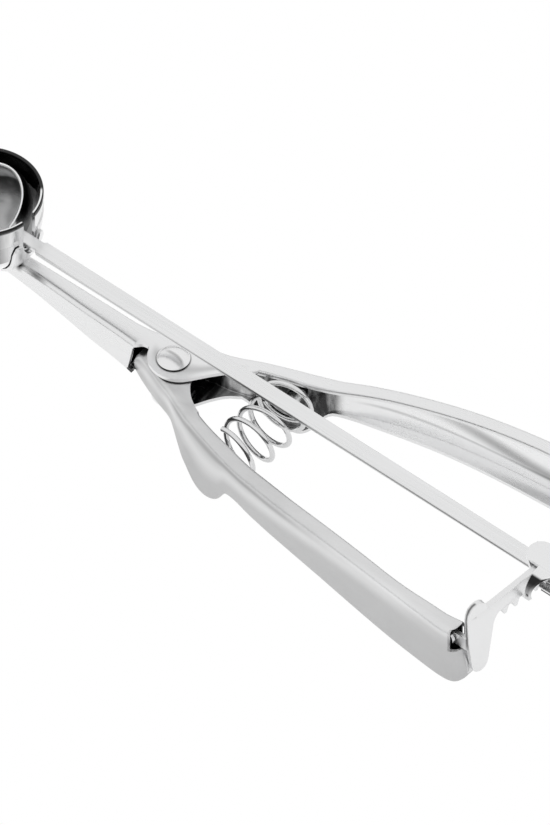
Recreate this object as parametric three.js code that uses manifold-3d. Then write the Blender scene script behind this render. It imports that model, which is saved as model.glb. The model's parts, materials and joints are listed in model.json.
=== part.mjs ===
// Squeeze-handle ice cream scoop in stainless steel, in millimetres, +Z up.
//
// The tool is modelled along its own shaft: X runs from the bowl to the handle ends, Y from the moving
// handle to the fixed one, and the shaft's axis is the line Y = 0, Z = 0 with the bowl's centre at X = 0.
// The finished tool is then tipped and lowered on to the surface that it lies on.

import * as THREE from 'three';
import { mergeVertices } from 'three/addons/utils/BufferGeometryUtils.js';
import Module from 'manifold-3d';

const wasm = await Module();
wasm.setup();

// Sheet and clearances
const SHEET = 1.0;
const LEAST_ROUND = 1.15;
const GAP = 0.3;

// Bowl and scraper
const BOWL_INNER = 13.2;
const BOWL_WALL = 0.7;
const BOWL_RIM = 8.4;
const HEM = 0.95;
const HEM_START = 2.0;
const SLOT_WIDTH = 4.1;
const SCRAPER_REACH = 12.85;
const SCRAPER_DEPTH = 10.4;
const SCRAPER_HALF_WIDTH = 4.5;
const SCRAPER_SHEET = 0.6;
const SCRAPER_REST = 24;
const FRONT_PIN_RADIUS = 1.2;

// Shaft
const BAR_WIDTH = 4.3;
const BAR_THICK = 1.3;
const TANG_WIDTH = 3.2;
const TANG_START = 8.2;
const TANG_END = 17.2;
const BAR_END = 173.9;
const TENON_RADIUS = 1.6;
const TENON_END = 188.6;

// Handle pivot
const PIVOT_X = 60;
const PIVOT_Y = -1;
const RIVET_RADIUS = 2.0;
const RIVET_HEAD = 4.05;
const RIVET_DOME = 1.35;
const EAR_TOP = -8;
const EAR_BOTTOM = -20.5;
const INNER_EAR_TOP = -9.4;
const INNER_EAR_BOTTOM = -19.1;

// Rack and pinion
const TEETH = 8;
const TOOTH_PITCH = 3.4;
const PITCH_RADIUS = TEETH * TOOTH_PITCH / (2 * Math.PI);
const RACK_RADIUS = 119;
const RACK_THICK = 1.4;
const RACK_PHASE = 0.5;
const PINION_START = 176.0;
const PINION_END = 184.6;
const CHEEK_FRONT = 174.5;
const CHEEK_REAR = 185.3;
const CHEEK_THICK = 0.8;
const CAP_Z = 12.1;
const CAP_START = 174.3;
const CAP_Y = -5.4;
const CAP_RADIUS = 3.5;

const CLAW_START = 179.9;
const SHAFT_END_START = CHEEK_REAR + CHEEK_THICK + 1.05;

// Handle ends, with the rack's hook and its stud
const HANDLE_END = 173.3;
const END_REACH = 1.7;
const HOOK_OUTER_Y = -30.0;
const HOOK_THICK = 1.2;
const HOOK_HALF = 1.9;
const HOOK_Z = -0.8;
const STUD_X = 170.6;
const STUD_RADIUS = 0.9;

// Spring, wound about an arc that opens towards the rear
const COIL_RADIUS = 6.6;
const WIRE = 1.3;
const SPRING_X = 87.4;
const SPRING_Z = -14.1;
const SPRING_FAN = 40.0;
const SPRING_HALF_ANGLE = 14.6;
const SPRING_TURNS = 3.8;
const SPRING_START = 117;
const SEAT_RADIUS = 2.4;

// How far the finished tool is tipped to lie on its guard lobes and handle ends
const REST_TIP = 8.2;

const degrees = THREE.MathUtils.degToRad;

// A smooth line through [x, value] pairs, straight beyond its ends.
function line(pairs) {
  const slopes = pairs.map((pair, i) => {
    const before = pairs[Math.max(i - 1, 0)];
    const after = pairs[Math.min(i + 1, pairs.length - 1)];
    return (after[1] - before[1]) / (after[0] - before[0]);
  });
  return (x) => {
    const last = pairs.length - 2;
    let i = pairs.findIndex((pair, k) => k <= last && x <= pairs[k + 1][0]);
    if (i < 0) i = last;
    const [x0, y0] = pairs[i];
    const [x1, y1] = pairs[i + 1];
    const span = x1 - x0;
    const t = THREE.MathUtils.clamp((x - x0) / span, 0, 1);
    const bend = t * (1 - t);
    return y0 + (y1 - y0) * t
      + bend * ((1 - t) * (slopes[i] * span - (y1 - y0)) - t * (slopes[i + 1] * span - (y1 - y0)));
  };
}

// Distance of a handle's outer face from the pivot's centre plane, along the tool.
const webOffset = line([
  [48, 1.6], [51, 2.6], [56, 4.7], [61, 6.6], [65, 8.0], [69.5, 10.1], [74.5, 12.5], [85.5, 16.3],
  [96, 19.4], [107.3, 22.6], [118, 25.0], [131, 27.4], [144, 29.4], [155, 30.8], [168, 32.0], [174, 32.4],
]);

// Distance of a handle's inner flange edge from the same plane.
const lipOffset = line([
  [70, 5.0], [73, 7.6], [76, 9.2], [82, 11.3], [89.5, 13.3], [96, 15.2], [106, 18.0], [114, 20.0],
  [128, 22.8], [142, 25.2], [154, 26.8], [168, 27.2], [174, 27.5],
]);

// Height of a handle's top face and of each bottom edge, with the rounded guard lobe behind the pivot.
const handleTop = line([
  [60, -8], [74, -8], [82, -7.4], [90, -6.7], [97, -5.7], [104, -3.7], [112, -1.7], [126, 1.1],
  [138, 2.8], [150, 3.7], [160, 4.1], [174, 4.2],
]);
const fixedBottom = line([
  [66.5, -20.5], [69.5, -21.5], [73, -22.8], [77, -24.4], [81, -26.0], [85, -26.5], [88, -26.3],
  [90, -25.1], [91.5, -22.8], [93, -20.2], [95, -18.3], [101, -16.9], [105, -16.2], [116, -14.8],
  [130, -13.9], [156, -14.1], [174, -14.2],
]);
const movingBottom = line([
  [69.5, -21.6], [73, -22.9], [76, -23.9], [80, -25.8], [83, -26.2], [86, -25.2], [88, -23.5],
  [89.5, -21.0], [91, -19.0], [95, -17.7], [101, -16.9], [105, -16.2], [116, -14.8], [130, -13.9],
  [156, -14.1], [174, -14.2],
]);
const lobeFlare = line([[60, 0], [67, 0], [74, 1.0], [79, 1.4], [84, 1.0], [91, 0], [100, 0]]);
const bottomFlange = line([
  [68, 1.0], [72.5, 1.7], [76, 3.0], [80, 4.0], [86, 4.3], [88.5, 3.9], [91, 2.3], [93, 1.5],
  [98, 1.9], [109, 3.4], [123, 4.2], [140, 4.8], [156, 5.4], [174, 5.6],
]);

// How far each end of a handle is drawn in where it turns round to its end wall.
const topRounding = line([[60, 1.2], [98, 1.2], [110, 1.7], [125, 2.2], [150, 2.5], [174, 2.5]]);
const endTuck = line([[164, 0], [168, 0], [170.5, 0.4], [172.2, 1.15], [173.3, 2.0]]);

// How far each flange is widened inwards there.
const endReach = line([[164, 0], [168, 0], [171, 0.6], [HANDLE_END, END_REACH]]);

const steel = (name, color, roughness) =>
  new THREE.MeshStandardMaterial({ name, color, roughness, metalness: 1 });
const polished = steel('polished_steel', 0xe6e7e9, 0.12);
const satin = steel('satin_steel', 0xd9dadd, 0.28);
const brushed = steel('brushed_steel', 0xd4d5d8, 0.36);
const springSteel = steel('spring_steel', 0xd0d1d4, 0.2);

const tool = new THREE.Group();

function add(name, geometry, material) {
  const shape = geometry.clone();
  const mesh = new THREE.Mesh(shape, material);
  mesh.name = name;
  tool.add(mesh);
  return mesh;
}

// Turn a closed geometry into a solid for cutting and joining, and back.
function solid(geometry) {
  const bare = geometry.clone();
  bare.deleteAttribute('normal');
  bare.deleteAttribute('uv');
  const merged = mergeVertices(bare, 1e-4);
  return new wasm.Manifold(new wasm.Mesh({
    numProp: 3,
    vertProperties: new Float32Array(merged.attributes.position.array),
    triVerts: new Uint32Array(merged.index.array),
  }));
}

function geometryOf(body) {
  const mesh = body.getMesh();
  const geometry = new THREE.BufferGeometry();
  geometry.setAttribute('position', new THREE.BufferAttribute(new Float32Array(mesh.vertProperties), 3));
  geometry.setIndex(new THREE.BufferAttribute(new Uint32Array(mesh.triVerts), 1));
  return geometry;
}

function gridFaces(rows, columns, index, first, flip) {
  for (let i = 0; i < rows - 1; i += 1) {
    for (let j = 0; j < columns - 1; j += 1) {
      const a = first + i * columns + j;
      const b = a + columns;
      if (flip) index.push(a, b, a + 1, b, b + 1, a + 1);
      else index.push(a, a + 1, b, b, a + 1, b + 1);
    }
  }
}

// A sheet between two grids of points, closed along its four edges.
function sheetBetween(outer, inner) {
  const rows = outer.length;
  const columns = outer[0].length;
  const points = [...outer.flat(), ...inner.flat()];
  const size = rows * columns;
  const index = [];
  gridFaces(rows, columns, index, 0, false);
  gridFaces(rows, columns, index, size, true);
  const edge = (a, b) => index.push(a, a + size, b, b, a + size, b + size);
  for (let i = 0; i < rows - 1; i += 1) {
    edge((i + 1) * columns, i * columns);
    edge((i + 1) * columns - 1, (i + 2) * columns - 1);
  }
  for (let j = 0; j < columns - 1; j += 1) {
    edge(j, j + 1);
    edge((rows - 1) * columns + j + 1, (rows - 1) * columns + j);
  }
  const geometry = new THREE.BufferGeometry();
  geometry.setAttribute('position', new THREE.Float32BufferAttribute(points.flatMap((p) => p.toArray()), 3));
  geometry.setIndex(index);
  return outward(geometry);
}

// Turn the faces round where a closed shape came out inside out.
function outward(geometry) {
  const p = geometry.attributes.position;
  const index = geometry.index.array;
  const a = new THREE.Vector3();
  const b = new THREE.Vector3();
  const c = new THREE.Vector3();
  let volume = 0;
  for (let i = 0; i < index.length; i += 3) {
    a.fromBufferAttribute(p, index[i]);
    b.fromBufferAttribute(p, index[i + 1]);
    c.fromBufferAttribute(p, index[i + 2]);
    volume += a.dot(b.cross(c));
  }
  if (volume < 0) {
    for (let i = 0; i < index.length; i += 3) [index[i], index[i + 1]] = [index[i + 1], index[i]];
  }
  return geometry;
}

// Points of a section drawn as a bent line, set in by a sheet's thickness on its hollow side.
function setIn(section, distance) {
  return section.map((point, i) => {
    const before = section[Math.max(i - 1, 0)];
    const after = section[Math.min(i + 1, section.length - 1)];
    const first = point.clone().sub(before);
    const second = after.clone().sub(point);
    if (first.length() < 1e-9) first.copy(second);
    if (second.length() < 1e-9) second.copy(first);
    const n1 = new THREE.Vector2(first.y, -first.x).normalize();
    const n2 = new THREE.Vector2(second.y, -second.x).normalize();
    const middle = n1.clone().add(n2).normalize();
    return point.clone().addScaledVector(middle, distance / Math.max(middle.dot(n1), 0.5));
  });
}

// A rounded corner of a section, from one angle to another about a centre.
function corner(y, z, radius, from, to, steps) {
  return Array.from({ length: steps + 1 }, (_, k) => {
    const angle = degrees(from + (to - from) * k / steps);
    return new THREE.Vector2(y + radius * Math.cos(angle), z + radius * Math.sin(angle));
  });
}

// One section of a pressed handle, from its inner top lip over the top, down the web and in at the bottom.
// side is 1 for the fixed handle, whose web is towards +Y, and -1 for the moving one.
function handleSection({ x, side, lip, lipDrop, web, top, bottom, flare, flange, round }) {
  const topRound = Math.max(Math.min(round, (web - lip) * 0.4, (top - bottom) * 0.3), LEAST_ROUND);
  const foot = 1.2;
  const edge = web + flare;
  const middle = (top + bottom) / 2;
  const turnedLip = corner(lip + LEAST_ROUND, top - LEAST_ROUND, LEAST_ROUND, 180, 90, 2);
  const lipPoints = lipDrop > 0
    ? [new THREE.Vector2(lip, top - lipDrop), ...turnedLip]
    : [0, 0.25, 0.5, 0.75].map((reach) => new THREE.Vector2(lip + reach, top));
  const half = [
    ...lipPoints,
    new THREE.Vector2((lip + web) / 2 - 0.1, top),
    ...corner(web - topRound, top - topRound, topRound, 90, 0, 3),
    new THREE.Vector2(web, middle + (top - bottom) * 0.1),
    new THREE.Vector2(web + flare * 0.35, middle - (top - bottom) * 0.15),
    ...corner(edge - foot, bottom + foot, foot, 0, -90, 2),
    new THREE.Vector2(edge - Math.max(flange, foot + 0.4), bottom),
  ];
  const inner = setIn(half, SHEET);
  const place = (p) => new THREE.Vector3(x, PIVOT_Y + side * p.x, p.y);
  return { outer: half.map(place), inner: inner.map(place) };
}

function handleSheet(stations, describe) {
  const sections = stations.map((x) => handleSection({ x, ...describe(x) }));
  return sheetBetween(sections.map((s) => s.outer), sections.map((s) => s.inner));
}

// Fixed handle: shank, mouth, ears and handle in one pressing.
const shankBottom = line([[5, -12.4], [11, -13.0], [26, -15.6], [36, -17.6], [44, -19.3], [48, -20.5]]);
const shankHalf = line([[5, 2.2], [18, 2.4], [36, 2.6], [48, 2.7]]);
const shankWeb = line([
  [44, 3.6], [48, 3.9], [51, 4.4], [55, 5.6], [60, 7.3], [65, 8.9], [70, 10.3], [76, 13],
]);
const earLip = line([
  [48.6, -1.2], [51, -0.9], [53, -1.4], [54.4, -3.2], [55.5, -4.3], [57, -5.2], [59, -5.8], [61, -5.9],
  [63, -5.5], [65, -4.4], [66.5, -2.9], [68, -0.8], [70, 2.0], [72.5, 5.0], [75, 7.2], [78, 9.0],
]);
const lowerEar = line([
  [48, 3.0], [51, 2.4], [54.4, -2.0], [57, -4.4], [60, -5.1], [63, -4.6], [65, -3.0], [66.5, -0.4],
  [68, 3.4], [70, 7.4], [72.5, 10.4],
]);

function fixedSection(x) {
  const shank = x < 48;
  const frontWeb = x < 46 ? shankHalf(x) + 1 : shankWeb(x);
  const web = x < 76 ? frontWeb : webOffset(x);
  const openLip = x < 78 ? earLip(x) : lipOffset(x) - endReach(x);
  const lip = shank ? 1 - shankHalf(x) : openLip;
  const openBottom = x < 66.5 ? EAR_BOTTOM : fixedBottom(x);
  const bottom = shank ? shankBottom(x) : openBottom;
  const top = x < 60 ? EAR_TOP : handleTop(x);
  const ear = x >= 50 && x < 72.5;
  const tuck = endTuck(x);
  const flare = lobeFlare(x);
  const edge = web + flare - tuck;
  const openFlange = x > 72 ? bottomFlange(x) : 1.3;
  return {
    side: 1,
    lip,
    lipDrop: shank ? top - bottom : x < 76 ? 0 : 1.6,
    web: web - tuck,
    top: top - tuck * 0.7,
    bottom: bottom + tuck * 0.7,
    flare,
    flange: ear ? Math.max(edge - lowerEar(x), 1.4) : openFlange,
    round: shank ? 1.2 : topRounding(x),
  };
}

const fixedStations = [
  5, 9, 13, 18, 26, 36, 44, 47.2, 48.6, 50, 51.5, 53, 54.4, 55.5, 57, 59, 61, 63, 65, 66.5, 68, 70, 72.5,
  75, 78, 81, 84, 87, 89.5, 92, 96, 104, 113, 122, 132, 142, 152, 161, 168, 170.5, 172.2, HANDLE_END,
];

// Moving handle: a narrow nose in the mouth of the shank, two ears round the rivet, then the handle.
const noseLip = line([
  [49.4, -1.2], [51.5, -1.5], [53, -2.0], [54.6, -3.0], [55.6, -3.8], [57, -4.4], [59, -4.9], [61, -4.9],
  [63, -4.2], [64.6, -2.6], [65.6, -1.0], [67.2, 2.2], [70, 5.4], [73, 7.6],
]);
const noseTop = line([
  [49.4, -13.6], [50.2, -12.0], [51.5, -10.8], [53, -10.0], [55.6, -9.5], [57, -9.4], [69, -9.4],
  [72, -8.9], [76, -8.0], [80, -7.6],
]);
const noseBottom = line([
  [49.4, -17.6], [50.2, -18.4], [51.5, -18.9], [53, -19.1], [66.0, -19.1], [67.5, -20.1], [69.5, -21.6],
]);

function movingSection(x) {
  const tuck = endTuck(x);
  const flare = lobeFlare(x);
  const web = webOffset(x) - tuck;
  const earFlange = web + flare - noseLip(x) - Math.max(x - 64.6, 0) * 3.4;
  return {
    side: -1,
    lip: x < 73 ? noseLip(x) : lipOffset(x) - endReach(x),
    lipDrop: x < 76 ? 0 : 1.6,
    web,
    top: (x < 80 ? noseTop(x) : handleTop(x)) - tuck * 0.7,
    bottom: (x < 69.5 ? noseBottom(x) : movingBottom(x)) + tuck * 0.7,
    flare,
    flange: x < 70 ? Math.max(earFlange, 1.3) : bottomFlange(x),
    round: topRounding(x),
  };
}

const movingStations = [
  49.4, 50.2, 51.5, 53, 54.6, 55.6, 57, 59, 61, 63, 64.6, 65.6, 67.2, 69.5, 71.5, 73, 76, 79, 82, 85, 87.5,
  89.5, 92, 96, 104, 113, 122, 132, 142, 152, 161, 168, 170.5, 172.2, HANDLE_END,
];

function cylinderZ(radius, from, to, x, y, sides = 24) {
  const geometry = new THREE.CylinderGeometry(radius, radius, to - from, sides);
  geometry.rotateX(Math.PI / 2);
  return geometry.translate(x, y, (from + to) / 2);
}

function cylinderX(radius, from, to, y = 0, z = 0, sides = 20) {
  const geometry = new THREE.CylinderGeometry(radius, radius, to - from, sides);
  geometry.rotateZ(-Math.PI / 2);
  return geometry.translate((from + to) / 2, y, z);
}

function cylinderY(radius, from, to, x, z, sides = 20) {
  const geometry = new THREE.CylinderGeometry(radius, radius, to - from, sides);
  return geometry.translate(x, (from + to) / 2, z);
}

function box(x0, x1, y0, y1, z0, z1) {
  const geometry = new THREE.BoxGeometry(x1 - x0, y1 - y0, z1 - z0);
  return geometry.translate((x0 + x1) / 2, (y0 + y1) / 2, (z0 + z1) / 2);
}

// A flat outline drawn in Y and Z, given a thickness along X.
function plateX(shape, from, to, curveSegments = 12) {
  const geometry = new THREE.ExtrudeGeometry(shape, { depth: to - from, bevelEnabled: false, curveSegments });
  geometry.applyMatrix4(new THREE.Matrix4().makeBasis(
    new THREE.Vector3(0, 1, 0), new THREE.Vector3(0, 0, 1), new THREE.Vector3(1, 0, 0),
  ));
  return geometry.translate(from, 0, 0);
}

// End wall of a handle, a rounded plate over the channel's end.
function endWall(side) {
  const x = HANDLE_END;
  const tuck = endTuck(x);
  const inset = 0.4;
  const top = handleTop(x) - tuck * 0.7 - inset;
  const bottom = fixedBottom(x) + tuck * 0.7 + inset;
  const out = webOffset(x) - tuck - inset;
  const inside = lipOffset(x) - END_REACH + inset;
  const r = 1.2;
  const shape = new THREE.Shape();
  const at = (y) => PIVOT_Y + side * y;
  shape.moveTo(at(inside), top);
  shape.lineTo(at(out - r), top);
  shape.quadraticCurveTo(at(out), top, at(out), top - r);
  shape.lineTo(at(out), bottom + r);
  shape.quadraticCurveTo(at(out), bottom, at(out - r), bottom);
  shape.lineTo(at(inside), bottom);
  shape.closePath();
  return plateX(shape, x - SHEET, x + 0.1, 4);
}

// A pressed channel closed at its end and drilled for the rivet.
function pressedHandle(stations, describe, side) {
  const body = solid(handleSheet(stations, describe)).add(solid(endWall(side)));
  return body.subtract(solid(cylinderZ(RIVET_RADIUS + GAP, -30, 0, PIVOT_X, PIVOT_Y)));
}

// Spoon-shaped bracket at the shank's front, which holds the bowl's back on both sides of the shaft.
function bowlBracket() {
  const inner = BOWL_INNER + BOWL_WALL + GAP;
  const ball = solid(new THREE.SphereGeometry(inner + 0.8, 32, 16));
  const outline = new THREE.Shape();
  outline.moveTo(-2.6, -14.5);
  outline.lineTo(2.6, -14.5);
  outline.bezierCurveTo(5.2, -12, 5.4, -5, 4.9, -1.2);
  outline.quadraticCurveTo(4.4, 1.2, 3.0, 0.4);
  outline.quadraticCurveTo(2.5, -3.2, 0, -3.4);
  outline.quadraticCurveTo(-2.5, -3.2, -3.0, 0.4);
  outline.quadraticCurveTo(-4.4, 1.2, -4.9, -1.2);
  outline.bezierCurveTo(-5.4, -5, -5.2, -12, -2.6, -14.5);
  return ball.intersect(solid(plateX(outline, 1.5, 20, 5)));
}

function makeFixedHandle() {
  const clear = solid(new THREE.SphereGeometry(BOWL_INNER + BOWL_WALL + GAP, 32, 16));
  return geometryOf(pressedHandle(fixedStations, fixedSection, 1).add(bowlBracket()).subtract(clear));
}

// The moving handle's rounded end has a window for the rack's hook.
function makeMovingHandle() {
  const window = box(171.6, HANDLE_END + 2, -34, HOOK_OUTER_Y + HOOK_THICK + 1.0, -3.3, 3.6);
  return geometryOf(pressedHandle(movingStations, movingSection, -1).subtract(solid(window)));
}

// Bowl: half a ball with a straight wall above it and a rolled rim, slotted at the back for the shaft.
function makeBowl() {
  const outer = BOWL_INNER + BOWL_WALL;
  const profile = [new THREE.Vector2(0, -outer)];
  const steps = 10;
  for (let i = 1; i <= steps; i += 1) {
    const angle = degrees(-90 + 90 * i / steps);
    profile.push(new THREE.Vector2(outer * Math.cos(angle), outer * Math.sin(angle)));
  }
  profile.push(new THREE.Vector2(BOWL_INNER + HEM, HEM_START));
  profile.push(new THREE.Vector2(BOWL_INNER + HEM, BOWL_RIM - 1.3));
  profile.push(new THREE.Vector2(BOWL_INNER + HEM - 0.25, BOWL_RIM - 1.0));
  for (let i = 0; i <= 4; i += 1) {
    const angle = degrees(180 * i / 4);
    const r = HEM / 2;
    const out = BOWL_INNER + r + (r - 0.05) * Math.cos(angle);
    profile.push(new THREE.Vector2(out, BOWL_RIM - r + r * Math.sin(angle)));
  }
  for (let i = steps; i >= 0; i -= 1) {
    const angle = degrees(-90 + 90 * i / steps);
    profile.push(new THREE.Vector2(i ? BOWL_INNER * Math.cos(angle) : 0, BOWL_INNER * Math.sin(angle)));
  }
  const lathe = new THREE.LatheGeometry(profile, 56);
  lathe.rotateX(Math.PI / 2);
  let body = solid(outwardLathe(lathe));
  const slot = box(8, 16, -SLOT_WIDTH / 2, SLOT_WIDTH / 2, 0, 12);
  body = body.subtract(solid(slot)).subtract(solid(cylinderX(SLOT_WIDTH / 2, 8, 16, 0, 0, 16)));
  return geometryOf(body.subtract(solid(cylinderX(FRONT_PIN_RADIUS + GAP, -16, -10))));
}

function outwardLathe(geometry) {
  const bare = geometry.clone();
  bare.deleteAttribute('normal');
  bare.deleteAttribute('uv');
  return outward(mergeVertices(bare, 1e-4));
}

// Room for the shaft's tang in the parts that sit on it.
function tangSlot() {
  const y = TANG_WIDTH / 2 + GAP;
  const z = BAR_THICK / 2 + GAP;
  return box(6, 13, -y, y, -z, z);
}

// Scraper: a strip bent to the bowl from pivot to pivot, with a rounded tab at each end.
function makeScraper() {
  const rest = degrees(SCRAPER_REST);
  const along = new THREE.Vector3(0, Math.cos(rest), Math.sin(rest));
  const across = new THREE.Vector3(0, -Math.sin(rest), Math.cos(rest));
  const tab = Math.asin(SCRAPER_HALF_WIDTH / SCRAPER_REACH);
  const rows = 40;
  const columns = 7;
  const outer = [];
  const inner = [];
  for (let i = 0; i <= rows; i += 1) {
    const turn = -tab + (Math.PI + 2 * tab) * i / rows;
    const past = Math.max(-turn, turn - Math.PI, 0) / tab;
    const half = SCRAPER_HALF_WIDTH * Math.sqrt(Math.max(1 - past ** 2, 0.12));
    const spine = new THREE.Vector3(SCRAPER_DEPTH * Math.cos(turn), 0, 0);
    spine.addScaledVector(along, SCRAPER_REACH * Math.sin(turn));
    const outerRow = [];
    const innerRow = [];
    for (let j = 0; j < columns; j += 1) {
      const lean = (j / (columns - 1) * 2 - 1) * half / SCRAPER_REACH;
      const point = spine.clone().multiplyScalar(Math.cos(lean));
      point.addScaledVector(across, SCRAPER_REACH * Math.sin(lean));
      outerRow.push(point);
      const inward = point.clone();
      inward.x /= (SCRAPER_DEPTH / SCRAPER_REACH) ** 2;
      innerRow.push(point.clone().addScaledVector(inward.normalize(), -SCRAPER_SHEET));
    }
    outer.push(outerRow);
    inner.push(innerRow);
  }
  let body = solid(sheetBetween(outer, inner));
  body = body.subtract(solid(tangSlot()));
  return geometryOf(body.subtract(solid(cylinderX(FRONT_PIN_RADIUS + GAP, -13, -7))));
}

// Shaft: a flat bar with a narrower tang at the bowl and a round tenon through the pinion.
function makeShaft() {
  const w = BAR_WIDTH / 2;
  const n = TANG_WIDTH / 2;
  const outline = new THREE.Shape();
  outline.moveTo(TANG_START, -n);
  outline.lineTo(TANG_END, -n);
  outline.lineTo(TANG_END + 0.6, -w);
  outline.lineTo(BAR_END, -w);
  outline.lineTo(BAR_END, w);
  outline.lineTo(TANG_END + 0.6, w);
  outline.lineTo(TANG_END, n);
  outline.lineTo(TANG_START, n);
  outline.closePath();
  const bevel = 0.18;
  const bar = new THREE.ExtrudeGeometry(outline, {
    depth: BAR_THICK - 2 * bevel, bevelEnabled: true, bevelSize: bevel, bevelOffset: -bevel,
    bevelThickness: bevel, bevelSegments: 1,
  });
  bar.translate(0, 0, -BAR_THICK / 2 + bevel);
  const tenon = cylinderX(TENON_RADIUS, BAR_END - 1.2, TENON_END, 0, 0, 16);
  return geometryOf(solid(bar).add(solid(tenon)));
}

// Pinion: a short toothed roller on the tenon.
function makePinion() {
  const tip = PITCH_RADIUS + 0.85;
  const root = PITCH_RADIUS - 1.15;
  const shape = new THREE.Shape();
  const start = Math.PI / 2 + RACK_PHASE / PITCH_RADIUS;
  const flank = PITCH_RADIUS;
  const corners = [
    [-0.235, root], [-0.13, flank], [-0.075, tip], [0.075, tip], [0.13, flank], [0.235, root],
  ];
  for (let k = 0; k < TEETH; k += 1) {
    for (const [share, radius] of corners) {
      const angle = start + (k + share) * 2 * Math.PI / TEETH;
      const x = radius * Math.cos(angle);
      const y = radius * Math.sin(angle);
      if (k === 0 && share < -0.2) shape.moveTo(x, y);
      else shape.lineTo(x, y);
    }
  }
  shape.closePath();
  const bore = new THREE.Path();
  bore.absarc(0, 0, TENON_RADIUS + GAP, 0, 2 * Math.PI, true);
  shape.holes.push(bore);
  return plateX(shape, PINION_START, PINION_END, 10);
}

// Rack: a plate bent to an arc about the rivet, with a tall head on the handle's end and teeth below.
function makeRack() {
  const tip = PITCH_RADIUS - 0.75;
  const root = PITCH_RADIUS + 1.45;
  const shape = new THREE.Shape();
  shape.moveTo(-22.0, 1.6);
  shape.quadraticCurveTo(-21.7, 4.8, -20.0, root);
  for (let k = -5; k <= 1; k += 1) {
    const s = k * TOOTH_PITCH - 1.2;
    shape.lineTo(s - 1.05, root);
    shape.lineTo(s - 0.4, tip);
    shape.lineTo(s + 0.4, tip);
    shape.lineTo(s + 1.05, root);
  }
  shape.lineTo(4.2, root);
  shape.quadraticCurveTo(5.4, root + 2.2, 3.4, 11.2);
  shape.lineTo(-8.5, 11.4);
  shape.lineTo(-23.8, 9.5);
  shape.quadraticCurveTo(-24.0, 12.7, -26.7, 12.8);
  shape.quadraticCurveTo(-29.5, 12.4, -29.6, 8.2);
  shape.lineTo(-29.2, 0);
  shape.lineTo(-28.2, -8.8);
  shape.quadraticCurveTo(-27.8, -11.6, -25.8, -11.7);
  shape.quadraticCurveTo(-23.8, -11.6, -23.4, -8.8);
  shape.closePath();
  const plate = new THREE.ExtrudeGeometry(shape, {
    depth: RACK_THICK, bevelEnabled: false, curveSegments: 4,
  });
  const p = plate.attributes.position;
  for (let i = 0; i < p.count; i += 1) {
    const angle = p.getX(i) / RACK_RADIUS;
    const radius = RACK_RADIUS - RACK_THICK / 2 + p.getZ(i);
    p.setXYZ(i, PIVOT_X + radius * Math.cos(angle), PIVOT_Y + radius * Math.sin(angle), p.getY(i));
  }
  const bare = outwardLathe(plate);
  const inner = HOOK_OUTER_Y + HOOK_THICK;
  const hook = box(168.8, 175.6, HOOK_OUTER_Y, inner, HOOK_Z - HOOK_HALF, HOOK_Z + HOOK_HALF);
  const hole = cylinderY(STUD_RADIUS + GAP, HOOK_OUTER_Y - 1, inner + 1, STUD_X, HOOK_Z, 16);
  return geometryOf(solid(bare).add(solid(hook)).subtract(solid(hole)));
}

// Stud on the moving handle's web, closed over the rack's hook.
function makeRackRivet() {
  const web = PIVOT_Y - webOffset(STUD_X) + endTuck(STUD_X) + SHEET + 2 * GAP;
  const shoulder = HOOK_OUTER_Y - GAP;
  const head = HOOK_OUTER_Y + HOOK_THICK + GAP;
  const profile = [
    new THREE.Vector2(0, web), new THREE.Vector2(1.5, web), new THREE.Vector2(1.5, shoulder),
    new THREE.Vector2(STUD_RADIUS, shoulder), new THREE.Vector2(STUD_RADIUS, head),
    new THREE.Vector2(1.6, head), new THREE.Vector2(1.3, head + 0.5), new THREE.Vector2(0, head + 0.6),
  ];
  return outwardLathe(new THREE.LatheGeometry(profile, 16)).translate(STUD_X, 0, HOOK_Z);
}

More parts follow.
